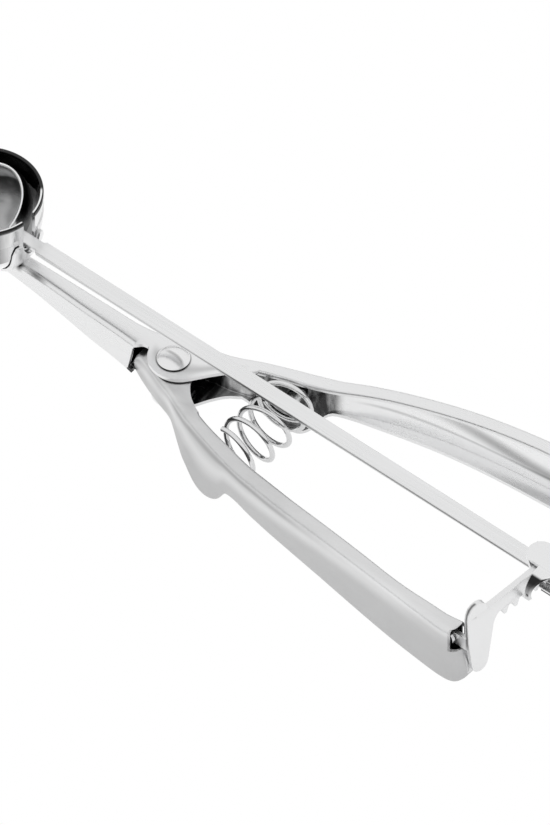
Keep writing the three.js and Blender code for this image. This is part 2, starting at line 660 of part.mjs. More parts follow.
// Yoke: two cheeks on the shaft's tenon, a round-ended tab over the rack and a claw that keeps it in.
function makeYoke() {
  const cheek = new THREE.Shape();
  cheek.moveTo(3.9, 0);
  cheek.absarc(0, 0, 3.9, 0, Math.PI * 0.3, false);
  cheek.quadraticCurveTo(0.4, 8, CAP_Y + 2.4, CAP_Z + 0.4);
  cheek.lineTo(CAP_Y - 2.4, CAP_Z + 0.4);
  cheek.quadraticCurveTo(-6.2, 5, -3.9, 0);
  cheek.absarc(0, 0, 3.9, Math.PI, 2 * Math.PI, false);
  const bore = new THREE.Path();
  bore.absarc(0, 0, TENON_RADIUS + GAP, 0, 2 * Math.PI, true);
  cheek.holes.push(bore);
  const front = solid(plateX(cheek, CHEEK_FRONT, CHEEK_FRONT + CHEEK_THICK, 8));
  const rear = solid(plateX(cheek, CHEEK_REAR, CHEEK_REAR + CHEEK_THICK, 8));
  const tab = new THREE.Shape();
  tab.moveTo(CHEEK_REAR + CHEEK_THICK, CAP_Y - CAP_RADIUS);
  tab.lineTo(CHEEK_REAR + CHEEK_THICK, CAP_Y + CAP_RADIUS);
  tab.lineTo(CAP_START + CAP_RADIUS, CAP_Y + CAP_RADIUS);
  tab.absarc(CAP_START + CAP_RADIUS, CAP_Y, CAP_RADIUS, Math.PI / 2, 1.5 * Math.PI, false);
  const cap = new THREE.ExtrudeGeometry(tab, { depth: CHEEK_THICK, bevelEnabled: false, curveSegments: 8 });
  cap.translate(0, 0, CAP_Z);
  const claw = new THREE.Shape();
  const clawY = -8.3;
  const clawZ = CAP_Z + CHEEK_THICK - 5.9;
  claw.absarc(clawY, clawZ, 5.9, degrees(80), degrees(196), false);
  claw.absarc(clawY, clawZ, 5.1, degrees(196), degrees(80), true);
  claw.closePath();
  const taper = new THREE.Shape();
  taper.moveTo(CLAW_START, -16);
  taper.lineTo(CLAW_START + 1.0, -16);
  taper.lineTo(CLAW_START + 1.2, -13.6);
  taper.lineTo(CLAW_START + 4.2, -9.6);
  taper.lineTo(CLAW_START + 4.2, -4);
  taper.lineTo(CLAW_START, -4);
  taper.closePath();
  const cutter = new THREE.ExtrudeGeometry(taper, { depth: 30, bevelEnabled: false });
  const horn = solid(plateX(claw, CLAW_START - 1, CLAW_START + 6, 10)).intersect(solid(cutter));
  return geometryOf(front.add(rear).add(solid(cap)).add(horn));
}

// Spring: one wire wound evenly to the right about an arc, from the moving handle to the fixed one.
function makeSpring() {
  const up = new THREE.Vector3(0, 0, 1);
  const arcAngle = (turn) => degrees(SPRING_HALF_ANGLE * (2 * turn / SPRING_TURNS - 1));
  const outwards = (turn) => new THREE.Vector3(Math.cos(arcAngle(turn)), Math.sin(arcAngle(turn)), 0);
  const coreAt = (turn) => new THREE.Vector3(SPRING_X - SPRING_FAN, PIVOT_Y, SPRING_Z)
    .addScaledVector(outwards(turn), SPRING_FAN);
  const centre = (turn) => {
    const angle = degrees(SPRING_START) - 2 * Math.PI * turn;
    return coreAt(turn)
      .addScaledVector(outwards(turn), COIL_RADIUS * Math.cos(angle))
      .addScaledVector(up, COIL_RADIUS * Math.sin(angle));
  };
  const steps = Math.round(SPRING_TURNS * 8);
  const sides = 5;
  const centres = Array.from({ length: steps + 1 }, (_, i) => centre(SPRING_TURNS * i / steps));
  const positions = [];
  centres.forEach((point, i) => {
    const before = centres[Math.max(i - 1, 0)];
    const after = centres[Math.min(i + 1, steps)];
    const tangent = after.clone().sub(before).normalize();
    const out = point.clone().sub(coreAt(SPRING_TURNS * i / steps));
    out.addScaledVector(tangent, -out.dot(tangent)).normalize();
    const other = new THREE.Vector3().crossVectors(tangent, out);
    for (let k = 0; k < sides; k += 1) {
      const angle = 2 * Math.PI * k / sides;
      positions.push(point.clone()
        .addScaledVector(out, WIRE / 2 * Math.cos(angle))
        .addScaledVector(other, WIRE / 2 * Math.sin(angle)));
    }
  });
  const index = [];
  for (let i = 0; i < steps; i += 1) {
    for (let k = 0; k < sides; k += 1) {
      const a = i * sides + k;
      const b = i * sides + (k + 1) % sides;
      index.push(a, b, a + sides, b, b + sides, a + sides);
    }
  }
  for (let k = 1; k < sides - 1; k += 1) {
    index.push(0, k + 1, k);
    index.push(steps * sides, steps * sides + k, steps * sides + k + 1);
  }
  let least = Infinity;
  for (let i = 0; i <= steps; i += 1) {
    for (let k = i + 5; k <= steps; k += 1) {
      least = Math.min(least, centres[i].distanceTo(centres[k]) - WIRE);
    }
  }
  console.log(`spring: least gap between its turns ${least.toFixed(2)} mm`);
  const geometry = new THREE.BufferGeometry();
  const values = positions.flatMap((v) => v.toArray());
  geometry.setAttribute('position', new THREE.Float32BufferAttribute(values, 3));
  geometry.setIndex(index);
  return outward(geometry);
}

// Spring seat: a round peg on a handle's web, cut to the web's slope, that reaches just into the spring.
function makeSeat(side) {
  const angle = degrees(SPRING_HALF_ANGLE);
  const x = SPRING_X - SPRING_FAN + SPRING_FAN * Math.cos(angle);
  const tip = PIVOT_Y + side * (SPRING_FAN * Math.sin(angle) - 0.5);
  const radius = SEAT_RADIUS;
  const profile = [
    new THREE.Vector2(0, 0), new THREE.Vector2(radius, 0), new THREE.Vector2(radius, 8.4),
    new THREE.Vector2(radius - 0.6, 9.0), new THREE.Vector2(0, 9.2),
  ];
  const peg = new THREE.LatheGeometry(profile, 20);
  if (side > 0) peg.rotateX(Math.PI);
  peg.translate(x, tip + side * 9.2, SPRING_Z);
  const slope = (webOffset(x + 4) - webOffset(x - 4)) / 8;
  const wall = new THREE.BoxGeometry(40, 12, 20);
  wall.translate(0, side * 6, 0);
  wall.rotateZ(side * Math.atan(slope));
  const face = PIVOT_Y + side * (webOffset(x) - SHEET * Math.hypot(1, slope) - 2 * GAP);
  wall.translate(x, face, SPRING_Z);
  return geometryOf(solid(outwardLathe(peg)).subtract(solid(wall)));
}

// Rivet that joins the handles, with a domed head above and a flat one below.
function makeRivet() {
  const top = EAR_TOP + GAP;
  const bottom = EAR_BOTTOM - 0.8 - 2 * GAP;
  const headDepth = 1.1;
  const profile = [
    new THREE.Vector2(0, bottom - headDepth),
    new THREE.Vector2(RIVET_HEAD - 1.1, bottom - headDepth),
    new THREE.Vector2(RIVET_HEAD - 0.6, bottom - headDepth + 0.4),
    new THREE.Vector2(RIVET_HEAD - 0.6, bottom),
    new THREE.Vector2(RIVET_RADIUS, bottom),
    new THREE.Vector2(RIVET_RADIUS, top),
    new THREE.Vector2(RIVET_HEAD, top),
  ];
  const ball = (RIVET_HEAD ** 2 + RIVET_DOME ** 2) / (2 * RIVET_DOME);
  for (let i = 1; i <= 6; i += 1) {
    const r = RIVET_HEAD * (1 - i / 6);
    profile.push(new THREE.Vector2(r, top + RIVET_DOME - ball + Math.sqrt(ball ** 2 - r ** 2)));
  }
  return turned(profile, 28).translate(PIVOT_X, PIVOT_Y, 0);
}

function turned(profile, sides) {
  const lathe = new THREE.LatheGeometry(profile, sides);
  lathe.rotateX(Math.PI / 2);
  return outwardLathe(lathe);
}

// A ring round the handles' rivet.
function ringZ(inner, outer, from, to) {
  const profile = [
    new THREE.Vector2(inner, from), new THREE.Vector2(outer, from), new THREE.Vector2(outer, to),
    new THREE.Vector2(inner, to), new THREE.Vector2(inner, from),
  ];
  return turned(profile, 24).translate(PIVOT_X, PIVOT_Y, 0);
}

// A ring round the shaft's axis.
function ringX(inner, outer, from, to, sides = 20) {
  const shape = new THREE.Shape();
  shape.absarc(0, 0, outer, 0, 2 * Math.PI, false);
  const hole = new THREE.Path();
  hole.absarc(0, 0, inner, 0, 2 * Math.PI, true);
  shape.holes.push(hole);
  return plateX(shape, from, to, sides / 2);
}

// Spacer round the rivet that keeps the moving handle's ears apart.
function makeSleeve() {
  const from = INNER_EAR_BOTTOM + SHEET + GAP;
  const to = INNER_EAR_TOP - SHEET - GAP;
  return ringZ(RIVET_RADIUS + GAP, 3.4, from, to);
}

// Washer under the front pin's inner head.
function makeFrontWasher() {
  const from = -SCRAPER_DEPTH + 0.95;
  return ringX(FRONT_PIN_RADIUS + GAP, 2.4, from, from + 0.6);
}

// Washer between the yoke's rear cheek and the shaft's closed end.
function makePinionWasher() {
  const from = CHEEK_REAR + CHEEK_THICK + GAP;
  return ringX(TENON_RADIUS + GAP, 3.2, from, from + 0.45);
}

// Pin that carries the scraper's front end, headed outside the bowl and inside the scraper.
function makeFrontRivet() {
  const outer = BOWL_INNER + BOWL_WALL;
  const shank = solid(cylinderX(FRONT_PIN_RADIUS, -outer - GAP - 0.4, -SCRAPER_DEPTH + 2.2));
  const head = solid(cylinderX(2.3, -outer - GAP - 1.0, -outer - GAP));
  const end = solid(cylinderX(2.0, -SCRAPER_DEPTH + 1.9, -SCRAPER_DEPTH + 2.5));
  return geometryOf(shank.add(head).add(end));
}

// Collar on the tang's end, which holds the scraper's rear tab against the shaft.
function makeTangCollar() {
  const ring = solid(cylinderX(2.6, SCRAPER_DEPTH - 1.7, SCRAPER_DEPTH - 0.95));
  return geometryOf(ring.subtract(solid(tangSlot())));
}

add('bowl', makeBowl(), polished);
add('scraper', makeScraper(), polished);
add('front_pivot_rivet', makeFrontRivet(), polished);
add('front_pivot_washer', makeFrontWasher(), satin);
add('tang_collar', makeTangCollar(), satin);
add('drive_shaft', makeShaft(), brushed);
add('pinion', makePinion(), satin);
add('pinion_washer', makePinionWasher(), satin);
add('shaft_end_rivet', ringX(TENON_RADIUS + GAP, 2.7, SHAFT_END_START, SHAFT_END_START + 1.1), satin);
add('rack', makeRack(), satin);
add('rack_rivet', makeRackRivet(), satin);
add('rack_yoke', makeYoke(), polished);
add('fixed_handle', makeFixedHandle(), satin);
add('moving_handle', makeMovingHandle(), satin);
add('pivot_rivet', makeRivet(), polished);
add('pivot_sleeve', makeSleeve(), satin);
add('rivet_washer', ringZ(RIVET_RADIUS + GAP, 4.0, EAR_BOTTOM - GAP - 0.7, EAR_BOTTOM - GAP), satin);
add('handle_spring', makeSpring(), springSteel);
add('fixed_spring_seat', makeSeat(1), satin);
add('moving_spring_seat', makeSeat(-1), satin);

// Lay the tool down on its guard lobes and handle ends, centred over the origin.
tool.rotation.y = degrees(REST_TIP);
tool.updateMatrixWorld(true);
const bounds = new THREE.Box3().setFromObject(tool, true);
const middle = bounds.getCenter(new THREE.Vector3());
tool.position.set(-middle.x, -middle.y, -bounds.min.z);

const scoop = new THREE.Group();
scoop.add(tool);
scoop.updateMatrixWorld(true);

// Where the joints, the resting faces and the free spaces are, in metres.
const placed = (name, x, y, z) => {
  const p = new THREE.Vector3(x, y, z).applyMatrix4(tool.matrixWorld).divideScalar(1000);
  console.log(`${name} ${p.toArray().map((value) => value.toFixed(5)).join(' ')}`);
};
placed('bowl centre', 0, 0, 0);
placed('handle pivot', PIVOT_X, PIVOT_Y, EAR_TOP);
placed('shaft at the pinion', (PINION_START + PINION_END) / 2, 0, 0);
const springEnd = degrees(SPRING_HALF_ANGLE);
placed(
  'spring fixed end',
  SPRING_X - SPRING_FAN + SPRING_FAN * Math.cos(springEnd),
  PIVOT_Y + SPRING_FAN * Math.sin(springEnd),
  SPRING_Z,
);
placed('fixed handle end face', HANDLE_END + 0.1, PIVOT_Y + 28.6, -6);
placed('fixed handle underside', 160, PIVOT_Y + webOffset(160) - 3, fixedBottom(160));
placed('fixed lobe', 86, PIVOT_Y + webOffset(86) - 1, fixedBottom(86));

export default scoop;
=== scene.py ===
"""Squeeze-handle ice cream scoop in stainless steel, lying on a white table.

Shapes are worked out in the tool's own frame, in millimetres: X along the shaft from the bowl to the handle
ends, Y from the moving handle to the fixed one, Z up out of the bowl, with the bowl's centre as origin.
place() carries them into the row's frame, in metres, where the tool lies tipped on its guard lobes.
"""

import json
import math

import bmesh
import bpy
import numpy as np
from mathutils import Matrix, Vector


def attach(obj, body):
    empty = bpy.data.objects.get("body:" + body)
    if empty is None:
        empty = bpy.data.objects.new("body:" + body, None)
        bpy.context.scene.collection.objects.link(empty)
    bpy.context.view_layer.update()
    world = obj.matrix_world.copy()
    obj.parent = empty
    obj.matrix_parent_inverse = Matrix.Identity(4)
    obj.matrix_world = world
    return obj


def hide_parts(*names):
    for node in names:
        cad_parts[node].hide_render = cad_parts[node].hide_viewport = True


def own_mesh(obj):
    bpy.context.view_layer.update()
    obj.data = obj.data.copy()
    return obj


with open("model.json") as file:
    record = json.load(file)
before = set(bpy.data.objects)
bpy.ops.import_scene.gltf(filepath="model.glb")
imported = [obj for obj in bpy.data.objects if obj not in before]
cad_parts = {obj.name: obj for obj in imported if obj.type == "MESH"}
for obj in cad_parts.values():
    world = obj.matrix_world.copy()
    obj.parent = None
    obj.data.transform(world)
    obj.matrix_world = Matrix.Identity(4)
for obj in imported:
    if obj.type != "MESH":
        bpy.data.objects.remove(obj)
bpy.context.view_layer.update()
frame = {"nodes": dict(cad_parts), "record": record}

# The tool's frame in the row's frame
MILLIMETRE = 0.001
TIP = math.radians(8.2)
BOWL_CENTRE = np.array([-0.08576, 0.00100, 0.03862])
TURN = np.array(
    [
        [math.cos(TIP), 0.0, math.sin(TIP)],
        [0.0, 1.0, 0.0],
        [-math.sin(TIP), 0.0, math.cos(TIP)],
    ]
)

# Sizes, in millimetres of the tool's frame

# Handles: the sheet, its smallest bends, the drop of its lip and the room between pieces; then the pivot,
# its rivet and the ears' top and bottom
SHEET = 1.0
LEAST_ROUND = 1.15
FOOT = 1.2
LIP_DROP = 1.6
GAP = 0.3
PIVOT_X, PIVOT_Y = 60.0, -1.0
RIVET_RADIUS, RIVET_HEAD, RIVET_DOME, RIVET_FOOT, RIVET_WASHER = 2.0, 4.05, 1.35, 1.1, 0.8
EAR_TOP, EAR_BOTTOM = -8.0, -20.5
# The shank's mouth: where the shank ends, and the slanted cut there: its reach across and (x, z) outline
MOUTH_X = 49.8
MOUTH_NEAR, MOUTH_FAR = -6.0, -1.6
MOUTH_SLANT = [(47.9, -17.6), (49.6, -9.4), (52.0, -9.4), (52.0, -17.6)]
# The handles' rear ends: where the upper part stops, how far the lower part bulges past it and over what
# length and height, the closing plate's inset, corners and stand-out, and the share of the tuck by which top
# and bottom draw in
HANDLE_END = 173.7
END_BULGE = 1.6
BULGE_START, BULGE_LENGTH = 165.0, 8.7
BULGE_TOP, BULGE_HEIGHT = -1.5, 10.0
END_INSET, END_ROUND, END_PROUD = 0.2, 1.3, 0.03
TUCK_SHARE = 0.7
# The farthest that a handle's outer face reaches from the pivot's plane
WIDEST = 31.97
# A dark sheet put behind the window in the moving handle's end, standing in for painted shade inside the
# handle
SHADE_SHEET_Y, SHADE_SHEET_HALF, SHADE_SHEET_LOW, SHADE_SHEET_HIGH = -28.1, 0.2, -12.3, 2.8
SHADE_SHEET_START, SHADE_SHEET_STOP = 163.0, 172.4
# Rack, yoke, bowl with its hem and the groove below its rim, shaft and scraper
RACK_RADIUS, CAP_Z = 119.0, 12.1
BOWL_INNER, BOWL_WALL, BOWL_RIM = 13.2, 0.7, 8.4
HEM, HEM_START, GROOVE = 0.95, 2.0, 1.15
SLOT_WIDTH = 4.1
BAR_THICK, TANG_WIDTH = 1.3, 3.2
SCRAPER_REACH, SCRAPER_DEPTH, SCRAPER_HALF_WIDTH, SCRAPER_SHEET = 12.85, 10.4, 4.5, 0.6
SCRAPER_REST = math.radians(24.0)
SCRAPER_EDGE = SCRAPER_REACH * math.sin(SCRAPER_HALF_WIDTH / SCRAPER_REACH)
FRONT_PIN_RADIUS = 1.2
# Spring
SPRING_X, SPRING_Z, SPRING_FAN, SPRING_TURNS = 87.4, -14.1, 40.0, 3.8
SPRING_HALF_ANGLE = math.radians(14.6)
SPRING_START = math.radians(117.0)
COIL_RADIUS, WIRE = 6.6, 1.3
END_COIL_TURNS, END_COIL_ANGLE = 0.95, math.radians(2.8)

# The UV layer that says where a corner lies on a handle's section
SECTION_LAYER = "section"


def place(points):
    """Points of the tool's frame, in millimetres, as points of the row's frame, in metres."""
    return np.asarray(points, float) @ TURN.T * MILLIMETRE + BOWL_CENTRE


def direction(vector):
    """A direction of the tool's frame in the row's frame."""
    return TURN @ np.asarray(vector, float)


# Camera: directions and centre in the tool's frame; height of view, distance and clips in metres, the sensor
# in millimetres. It stands near enough not to be clipped by the tool that takes the other views.
VIEW_BACK = (0.4243, -0.5037, 0.7524)
VIEW_UP = (-0.4848, 0.5755, 0.6586)
VIEW_CENTRE = (94.05, -3.77, 0.0)
VIEW_HEIGHT = 0.1964
VIEW_DISTANCE = 6.0
SENSOR_WIDTH = 36.0
NEAREST, FARTHEST = 0.01, 24.0


def make_camera():
    """A long lens on the photograph's side, whose picture is VIEW_HEIGHT high at its centre."""
    data = bpy.data.cameras.new("camera")
    data.sensor_width = SENSOR_WIDTH
    data.lens = SENSOR_WIDTH * VIEW_DISTANCE / VIEW_HEIGHT
    data.clip_start = NEAREST
    data.clip_end = FARTHEST
    camera = bpy.data.objects.new("camera", data)
    bpy.context.scene.collection.objects.link(camera)
    back = Vector(direction(VIEW_BACK)).normalized()
    up = Vector(direction(VIEW_UP))
    up = (up - back * up.dot(back)).normalized()
    right = up.cross(back)
    centre = Vector(place(VIEW_CENTRE))
    turn = Matrix((right, up, back)).transposed().to_4x4()
    camera.matrix_world = Matrix.Translation(centre + back * VIEW_DISTANCE) @ turn
    bpy.context.scene.camera = camera


def feed(tree, node, sockets):
    """Gives a node's sockets their values or links."""
    for name, value in sockets.items():
        if isinstance(value, Value):
            value = value.socket
        if isinstance(value, bpy.types.NodeSocket):
            tree.links.new(value, node.inputs[name])
        else:
            node.inputs[name].default_value = value


def add_node(tree, kind, settings=None, sockets=None):
    """A new node of a kind: its settings are set first, then the values or links of its sockets."""
    node = tree.nodes.new("ShaderNode" + kind)
    for name, value in (settings or {}).items():
        setattr(node, name, value)
    feed(tree, node, sockets or {})
    return node


class Value:
    """One number in a node tree; arithmetic on it adds the nodes."""

    def __init__(self, tree, socket):
        self.tree = tree
        self.socket = socket

    def math(self, operation, *others):
        """A Math node on this value and others."""
        node = add_node(self.tree, "Math", {"operation": operation}, dict(enumerate((self, *others))))
        return Value(self.tree, node.outputs[0])

    def __add__(self, other):
        return self.math("ADD", other)

    def __sub__(self, other):
        return self.math("SUBTRACT", other)

    def __mul__(self, other):
        return self.math("MULTIPLY", other)

    def __truediv__(self, other):
        return self.math("DIVIDE", other)

    def __rsub__(self, other):
        return self * -1.0 + other

    __radd__ = __add__
    __rmul__ = __mul__

    def clamp(self):
        """The value held between 0 and 1."""
        return self.math("MAXIMUM", 0.0).math("MINIMUM", 1.0)

    def ramp(self, low, high):
        """0 below low, 1 above high and smooth between."""
        sockets = {"Value": self, "From Min": low, "From Max": high}
        node = add_node(self.tree, "MapRange", {"interpolation_type": "SMOOTHSTEP"}, sockets)
        return Value(self.tree, node.outputs["Result"])

    def bump_at(self, middle, width):
        """1 at middle, falling smoothly to 0 at width from it."""
        return 1.0 - ((self - middle) / width).math("ABSOLUTE").ramp(0.0, 1.0)


def separate(tree, vector):
    """A vector's three numbers."""
    node = add_node(tree, "SeparateXYZ", sockets={0: vector})
    return [Value(tree, output) for output in node.outputs]


def combine(tree, x, y, z):
    """Three numbers as a vector."""
    return add_node(tree, "CombineXYZ", sockets={0: x, 1: y, 2: z}).outputs[0]


def noise(tree, vector, scale, detail=2.0):
    """Soft noise over a vector, mostly between 0 and 1."""
    sockets = {"Vector": vector, "Scale": scale, "Detail": detail}
    return Value(tree, add_node(tree, "TexNoise", sockets=sockets).outputs["Fac"])


def tool_coordinates(tree):
    """The surface point in the tool's own frame, in millimetres: place() undone."""
    point = add_node(tree, "TexCoord").outputs["Object"]
    shifted = add_node(tree, "VectorMath", {"operation": "SUBTRACT"}, {0: point, 1: tuple(BOWL_CENTRE)})
    sockets = {"Vector": shifted.outputs[0], "Angle": -TIP}
    turned = add_node(tree, "VectorRotate", {"rotation_type": "Y_AXIS"}, sockets)
    sockets = {0: turned.outputs[0], "Scale": 1.0 / MILLIMETRE}
    scaled = add_node(tree, "VectorMath", {"operation": "SCALE"}, sockets)
    return separate(tree, scaled.outputs[0])


def section_coordinates(tree):
    """Where a point lies on a handle's section: 0 at the lip, 1 at the foot, and whether it is inside."""
    layer = add_node(tree, "UVMap", {"uv_map": SECTION_LAYER})
    across = separate(tree, layer.outputs[0])[1]
    inside = across.ramp(*INSIDE_FROM)
    return across - inside * INNER_SIDE, inside


def distance_to(x, y, at_x, at_y):
    """How far a point lies from an upright axis."""
    return ((x - at_x) * (x - at_x) + (y - at_y) * (y - at_y)).math("SQRT")


# The share of a tone that painted near-black shade takes away, and the darkest tone of the fixed handle
PAINTED_SHADE_SHARE = 0.97
DARKEST = 0.012
# The steel's slightly cool tint, the tone of a painted white highlight, and how deep its grain goes, in
# metres
TINT = (0.998, 1.0, 1.004)
PAINTED_HIGHLIGHT_TONE = 0.98
GRAIN_DEPTH = 0.0001


def inner_painted_reflection(tree, x, y, z):
    """The moving handle's inside painted dark with streaks, a painted reflection."""
    streaks = noise(tree, combine(tree, x * 0.9, y * 0.3, z * 0.12), 1.0, 2.0).ramp(0.45, 0.75)
    return streaks * 0.35 + 0.08


def steel(
    name, tone, rough, grain_share=0.02, grain_bump=0.0, wave=0.0, rough_share=0.05, shade=None, painted_highlight=None
):
    """Stainless steel: lines along the tool where it is brushed, a slow unevenness where it is pressed.

    shade gives the share of the tone that a place keeps, which paints light and shade by place, and the last
    argument where the steel is painted pale and not metallic as a highlight or glow, both from the node tree
    and the place in the tool.
    """
    material = bpy.data.materials.new(name)
    material.use_nodes = True
    tree = material.node_tree
    sockets = {"Metallic": 1.0}
    x, y, z = tool_coordinates(tree)
    grain = noise(tree, combine(tree, x * 0.03, y * 2.6, z * 2.6), 1.0, 3.0)
    cloud = noise(tree, combine(tree, x, y, z), 0.09, 2.0)
    value = (grain - 0.5) * grain_share + (cloud - 0.5) * 0.03 + tone
    # Painted light and shade: the tone is scaled by place.
    if shade:
        value = value * shade(tree, x, y, z)
    # Painted highlight: where marked, the tone is raised towards white and the steel made less metallic.
    if painted_highlight:
        edge = painted_highlight(tree, x, y, z)
        value = value.math("MAXIMUM", edge * PAINTED_HIGHLIGHT_TONE)
        sockets["Metallic"] = 1.0 - edge
    channels = {channel: (value * share).clamp() for channel, share in enumerate(TINT)}
    sockets["Base Color"] = add_node(tree, "CombineColor", sockets=channels).outputs[0]
    sockets["Roughness"] = ((grain - 0.5) * rough_share + (cloud - 0.5) * rough_share + rough).clamp()
    if grain_bump or wave:
        height = grain * grain_bump + noise(tree, combine(tree, x, y, z), 0.16, 1.0) * wave
        bump = add_node(tree, "Bump", sockets={"Strength": 1.0, "Distance": GRAIN_DEPTH, "Height": height})
        sockets["Normal"] = bump.outputs[0]
    feed(tree, tree.nodes["Principled BSDF"], sockets)
    return material


def moving_handle_shade(tree, x, y, z):
    """Matt grey outside, the web painted darker than the top, with a painted shade line in the crease under
    the top and painted highlights on the ridge below it and the lobe's low edge; painted dark reflection
    inside.
    """
    across, inside = section_coordinates(tree)
    web = across.ramp(0.36, 0.44)
    clouds = noise(tree, combine(tree, x * 0.10, y * 0.25, z * 0.25), 1.0, 2.0) - 0.5
    front = 1.0 - x.ramp(66, 84)
    top = x.ramp(100, 140) * 0.09 + 0.80 + clouds * (front * 0.45 + 0.10)
    # Painted highlight on the lobe's low edge.
    low = across.ramp(0.84, 0.92) * x.ramp(72, 80) * (1.0 - x.ramp(88, 96)) * 0.16
    end = x.ramp(165, 173)
    # Painted highlight along the ridge below the top, fainter towards the end.
    ridge_at = 0.555 - x.ramp(84, 160) * 0.135
    painted_ridge_highlight = (across - ridge_at).bump_at(0.0, 0.12) * (0.22 - x.ramp(150, 168) * 0.14)
    # Painted dark shade line in the crease under the top.
    painted_crease_here = x.ramp(62, 72) * (1.0 - x.ramp(104, 132))
    painted_crease_shade = across.bump_at(0.425, 0.055) * painted_crease_here * 0.20
    # The web painted darker than the top as painted shade, darker still at the end, with random clouds.
    web_tone_with_painted_shade = 0.66 - end * 0.02 + clouds * (front * 0.25 + 0.06)
    outer = top * (1.0 - web) + web * web_tone_with_painted_shade + painted_ridge_highlight + low - painted_crease_shade
    # Painted dark reflection inside, darker still by the end's window.
    inner = inner_painted_reflection(tree, x, y, z) * (1.0 - x.ramp(168.5, 170.5) * 0.75)
    return outer * (1.0 - inside) + inner * inside


def shade_sheet_tone(tree, x, y, z):
    """Painted dark as shade towards the window, and streaked like the handle's painted inside reflection on
    the other face.
    """
    inner_face = y.ramp(SHADE_SHEET_Y + 0.05, SHADE_SHEET_Y + 0.15)
    return inner_painted_reflection(tree, x, y, z) * inner_face + (1.0 - inner_face) * 0.12


def fixed_handle_shade(tree, x, y, z):
    """Bright outside with painted shade lines and a painted contact shadow round the rivet; inside, a painted
    dark mirror near the pivot and painted soft dark reflection streaks along the handle.
    """
    across, inside = section_coordinates(tree)
    shank = 1.0 - x.ramp(49.6, 50.2)
    # Painted dark shade lines in the shank's crease and along the ear.
    painted_crease_shade = across.bump_at(0.225, 0.045) * shank * x.ramp(16, 24) * 0.36
    painted_ear_line = across.bump_at(0.268, 0.016) * x.ramp(53, 56) * (1.0 - x.ramp(72, 76)) * 0.30
    outer = 1.0 - painted_crease_shade - painted_ear_line
    # A painted dark reflection streak on the shank's top, and a painted shade spot at its corner.
    painted_dark_streak = x.bump_at(17.5, 4.6) * (y + (x - 17.5) * 0.06).bump_at(-1.75, 0.95) * z.ramp(-9.3, -8.7)
    painted_corner_shade = x.bump_at(12.3, 1.5) * y.bump_at(-1.7, 1.2) * z.ramp(-10.5, -9.0)
    outer = outer * (1.0 - painted_dark_streak * 0.75) * (1.0 - painted_corner_shade * 0.95)
    # Painted contact shadow round the rivet's head.
    foot = distance_to(x, y, PIVOT_X, PIVOT_Y)
    outer = outer * (1.0 - foot.bump_at(RIVET_HEAD + 0.05, 0.42) * z.ramp(-9.5, -8.5) * 0.6)
    # Inside, painted reflection: dark soft wisps, a paler patch and a paler low lobe near the pivot, and dark
    # lines under the lip, in a wedge and low down towards the rear.
    painted_reflection_wisps = noise(tree, combine(tree, x * 0.75, y * 0.2, z * 0.16), 1.0, 3.0).ramp(0.40, 0.72)
    painted_light_patch = x.ramp(67.5, 70) * (1.0 - x.ramp(73.5, 75.5)) * 0.45
    middle = 1.0 - x.ramp(94, 98)
    # An area painted black inside, a painted reflection.
    slot = x.ramp(76.5, 77.5) * (1.0 - x.ramp(84.5, 85.5)) * (1.0 - z.ramp(-17.5, -16.5))
    slot = slot * z.ramp(-22.8, -21.8)
    low_lobe = x.ramp(74, 77) * (1.0 - z.ramp(-23.5, -22.5)) * 0.55
    under_lip = across.bump_at(0.44, 0.07) * 0.42
    wedge_at = x.ramp(108, 156) * 0.20 + 0.47
    wedge = (across - wedge_at).bump_at(0.0, 0.085) * x.ramp(104, 140) * 0.58
    line_at = x.ramp(100, 150) * 0.10 + 0.60
    fine_line = (across - line_at).bump_at(0.0, 0.025) * x.ramp(98, 108) * 0.35
    rear_low = across.bump_at(0.80, 0.16) * x.ramp(150, 168) * 0.30
    rear = 1.12 - (under_lip + wedge + fine_line + rear_low)
    painted_dark_reflection = painted_reflection_wisps * 0.32 + 0.05 + painted_light_patch + low_lobe
    inner = rear * (1.0 - middle) + painted_dark_reflection * middle
    # That area and the shank's inside painted near black as painted shade.
    inner = inner * (1.0 - slot * PAINTED_SHADE_SHARE) * (1.0 - shank * PAINTED_SHADE_SHARE)
    # The mouth's ledge painted near black as painted shade.
    painted_ledge_shade = x.ramp(47.5, 47.8) * (1.0 - x.ramp(49.6, 50.0)) * (1.0 - z.ramp(-17.75, -17.5))
    painted_ledge_shade = painted_ledge_shade * (1.0 - y.ramp(-0.6, 0.2))
    tone = (outer * (1.0 - inside) + inner * inside) * (1.0 - painted_ledge_shade * PAINTED_SHADE_SHARE)
    return tone.math("MAXIMUM", DARKEST)


def bowl_painted_highlight_part(x, y):
    """Where the bowl's rim is painted bright as a painted reflection: beside the shaft and on the moving
    handle's side.
    """
    beside_shaft = (x - y.math("ABSOLUTE") * 0.75).ramp(2.6, 4.2)
    return beside_shaft.math("MAXIMUM", 1.0 - y.ramp(-2.5, 0.0))


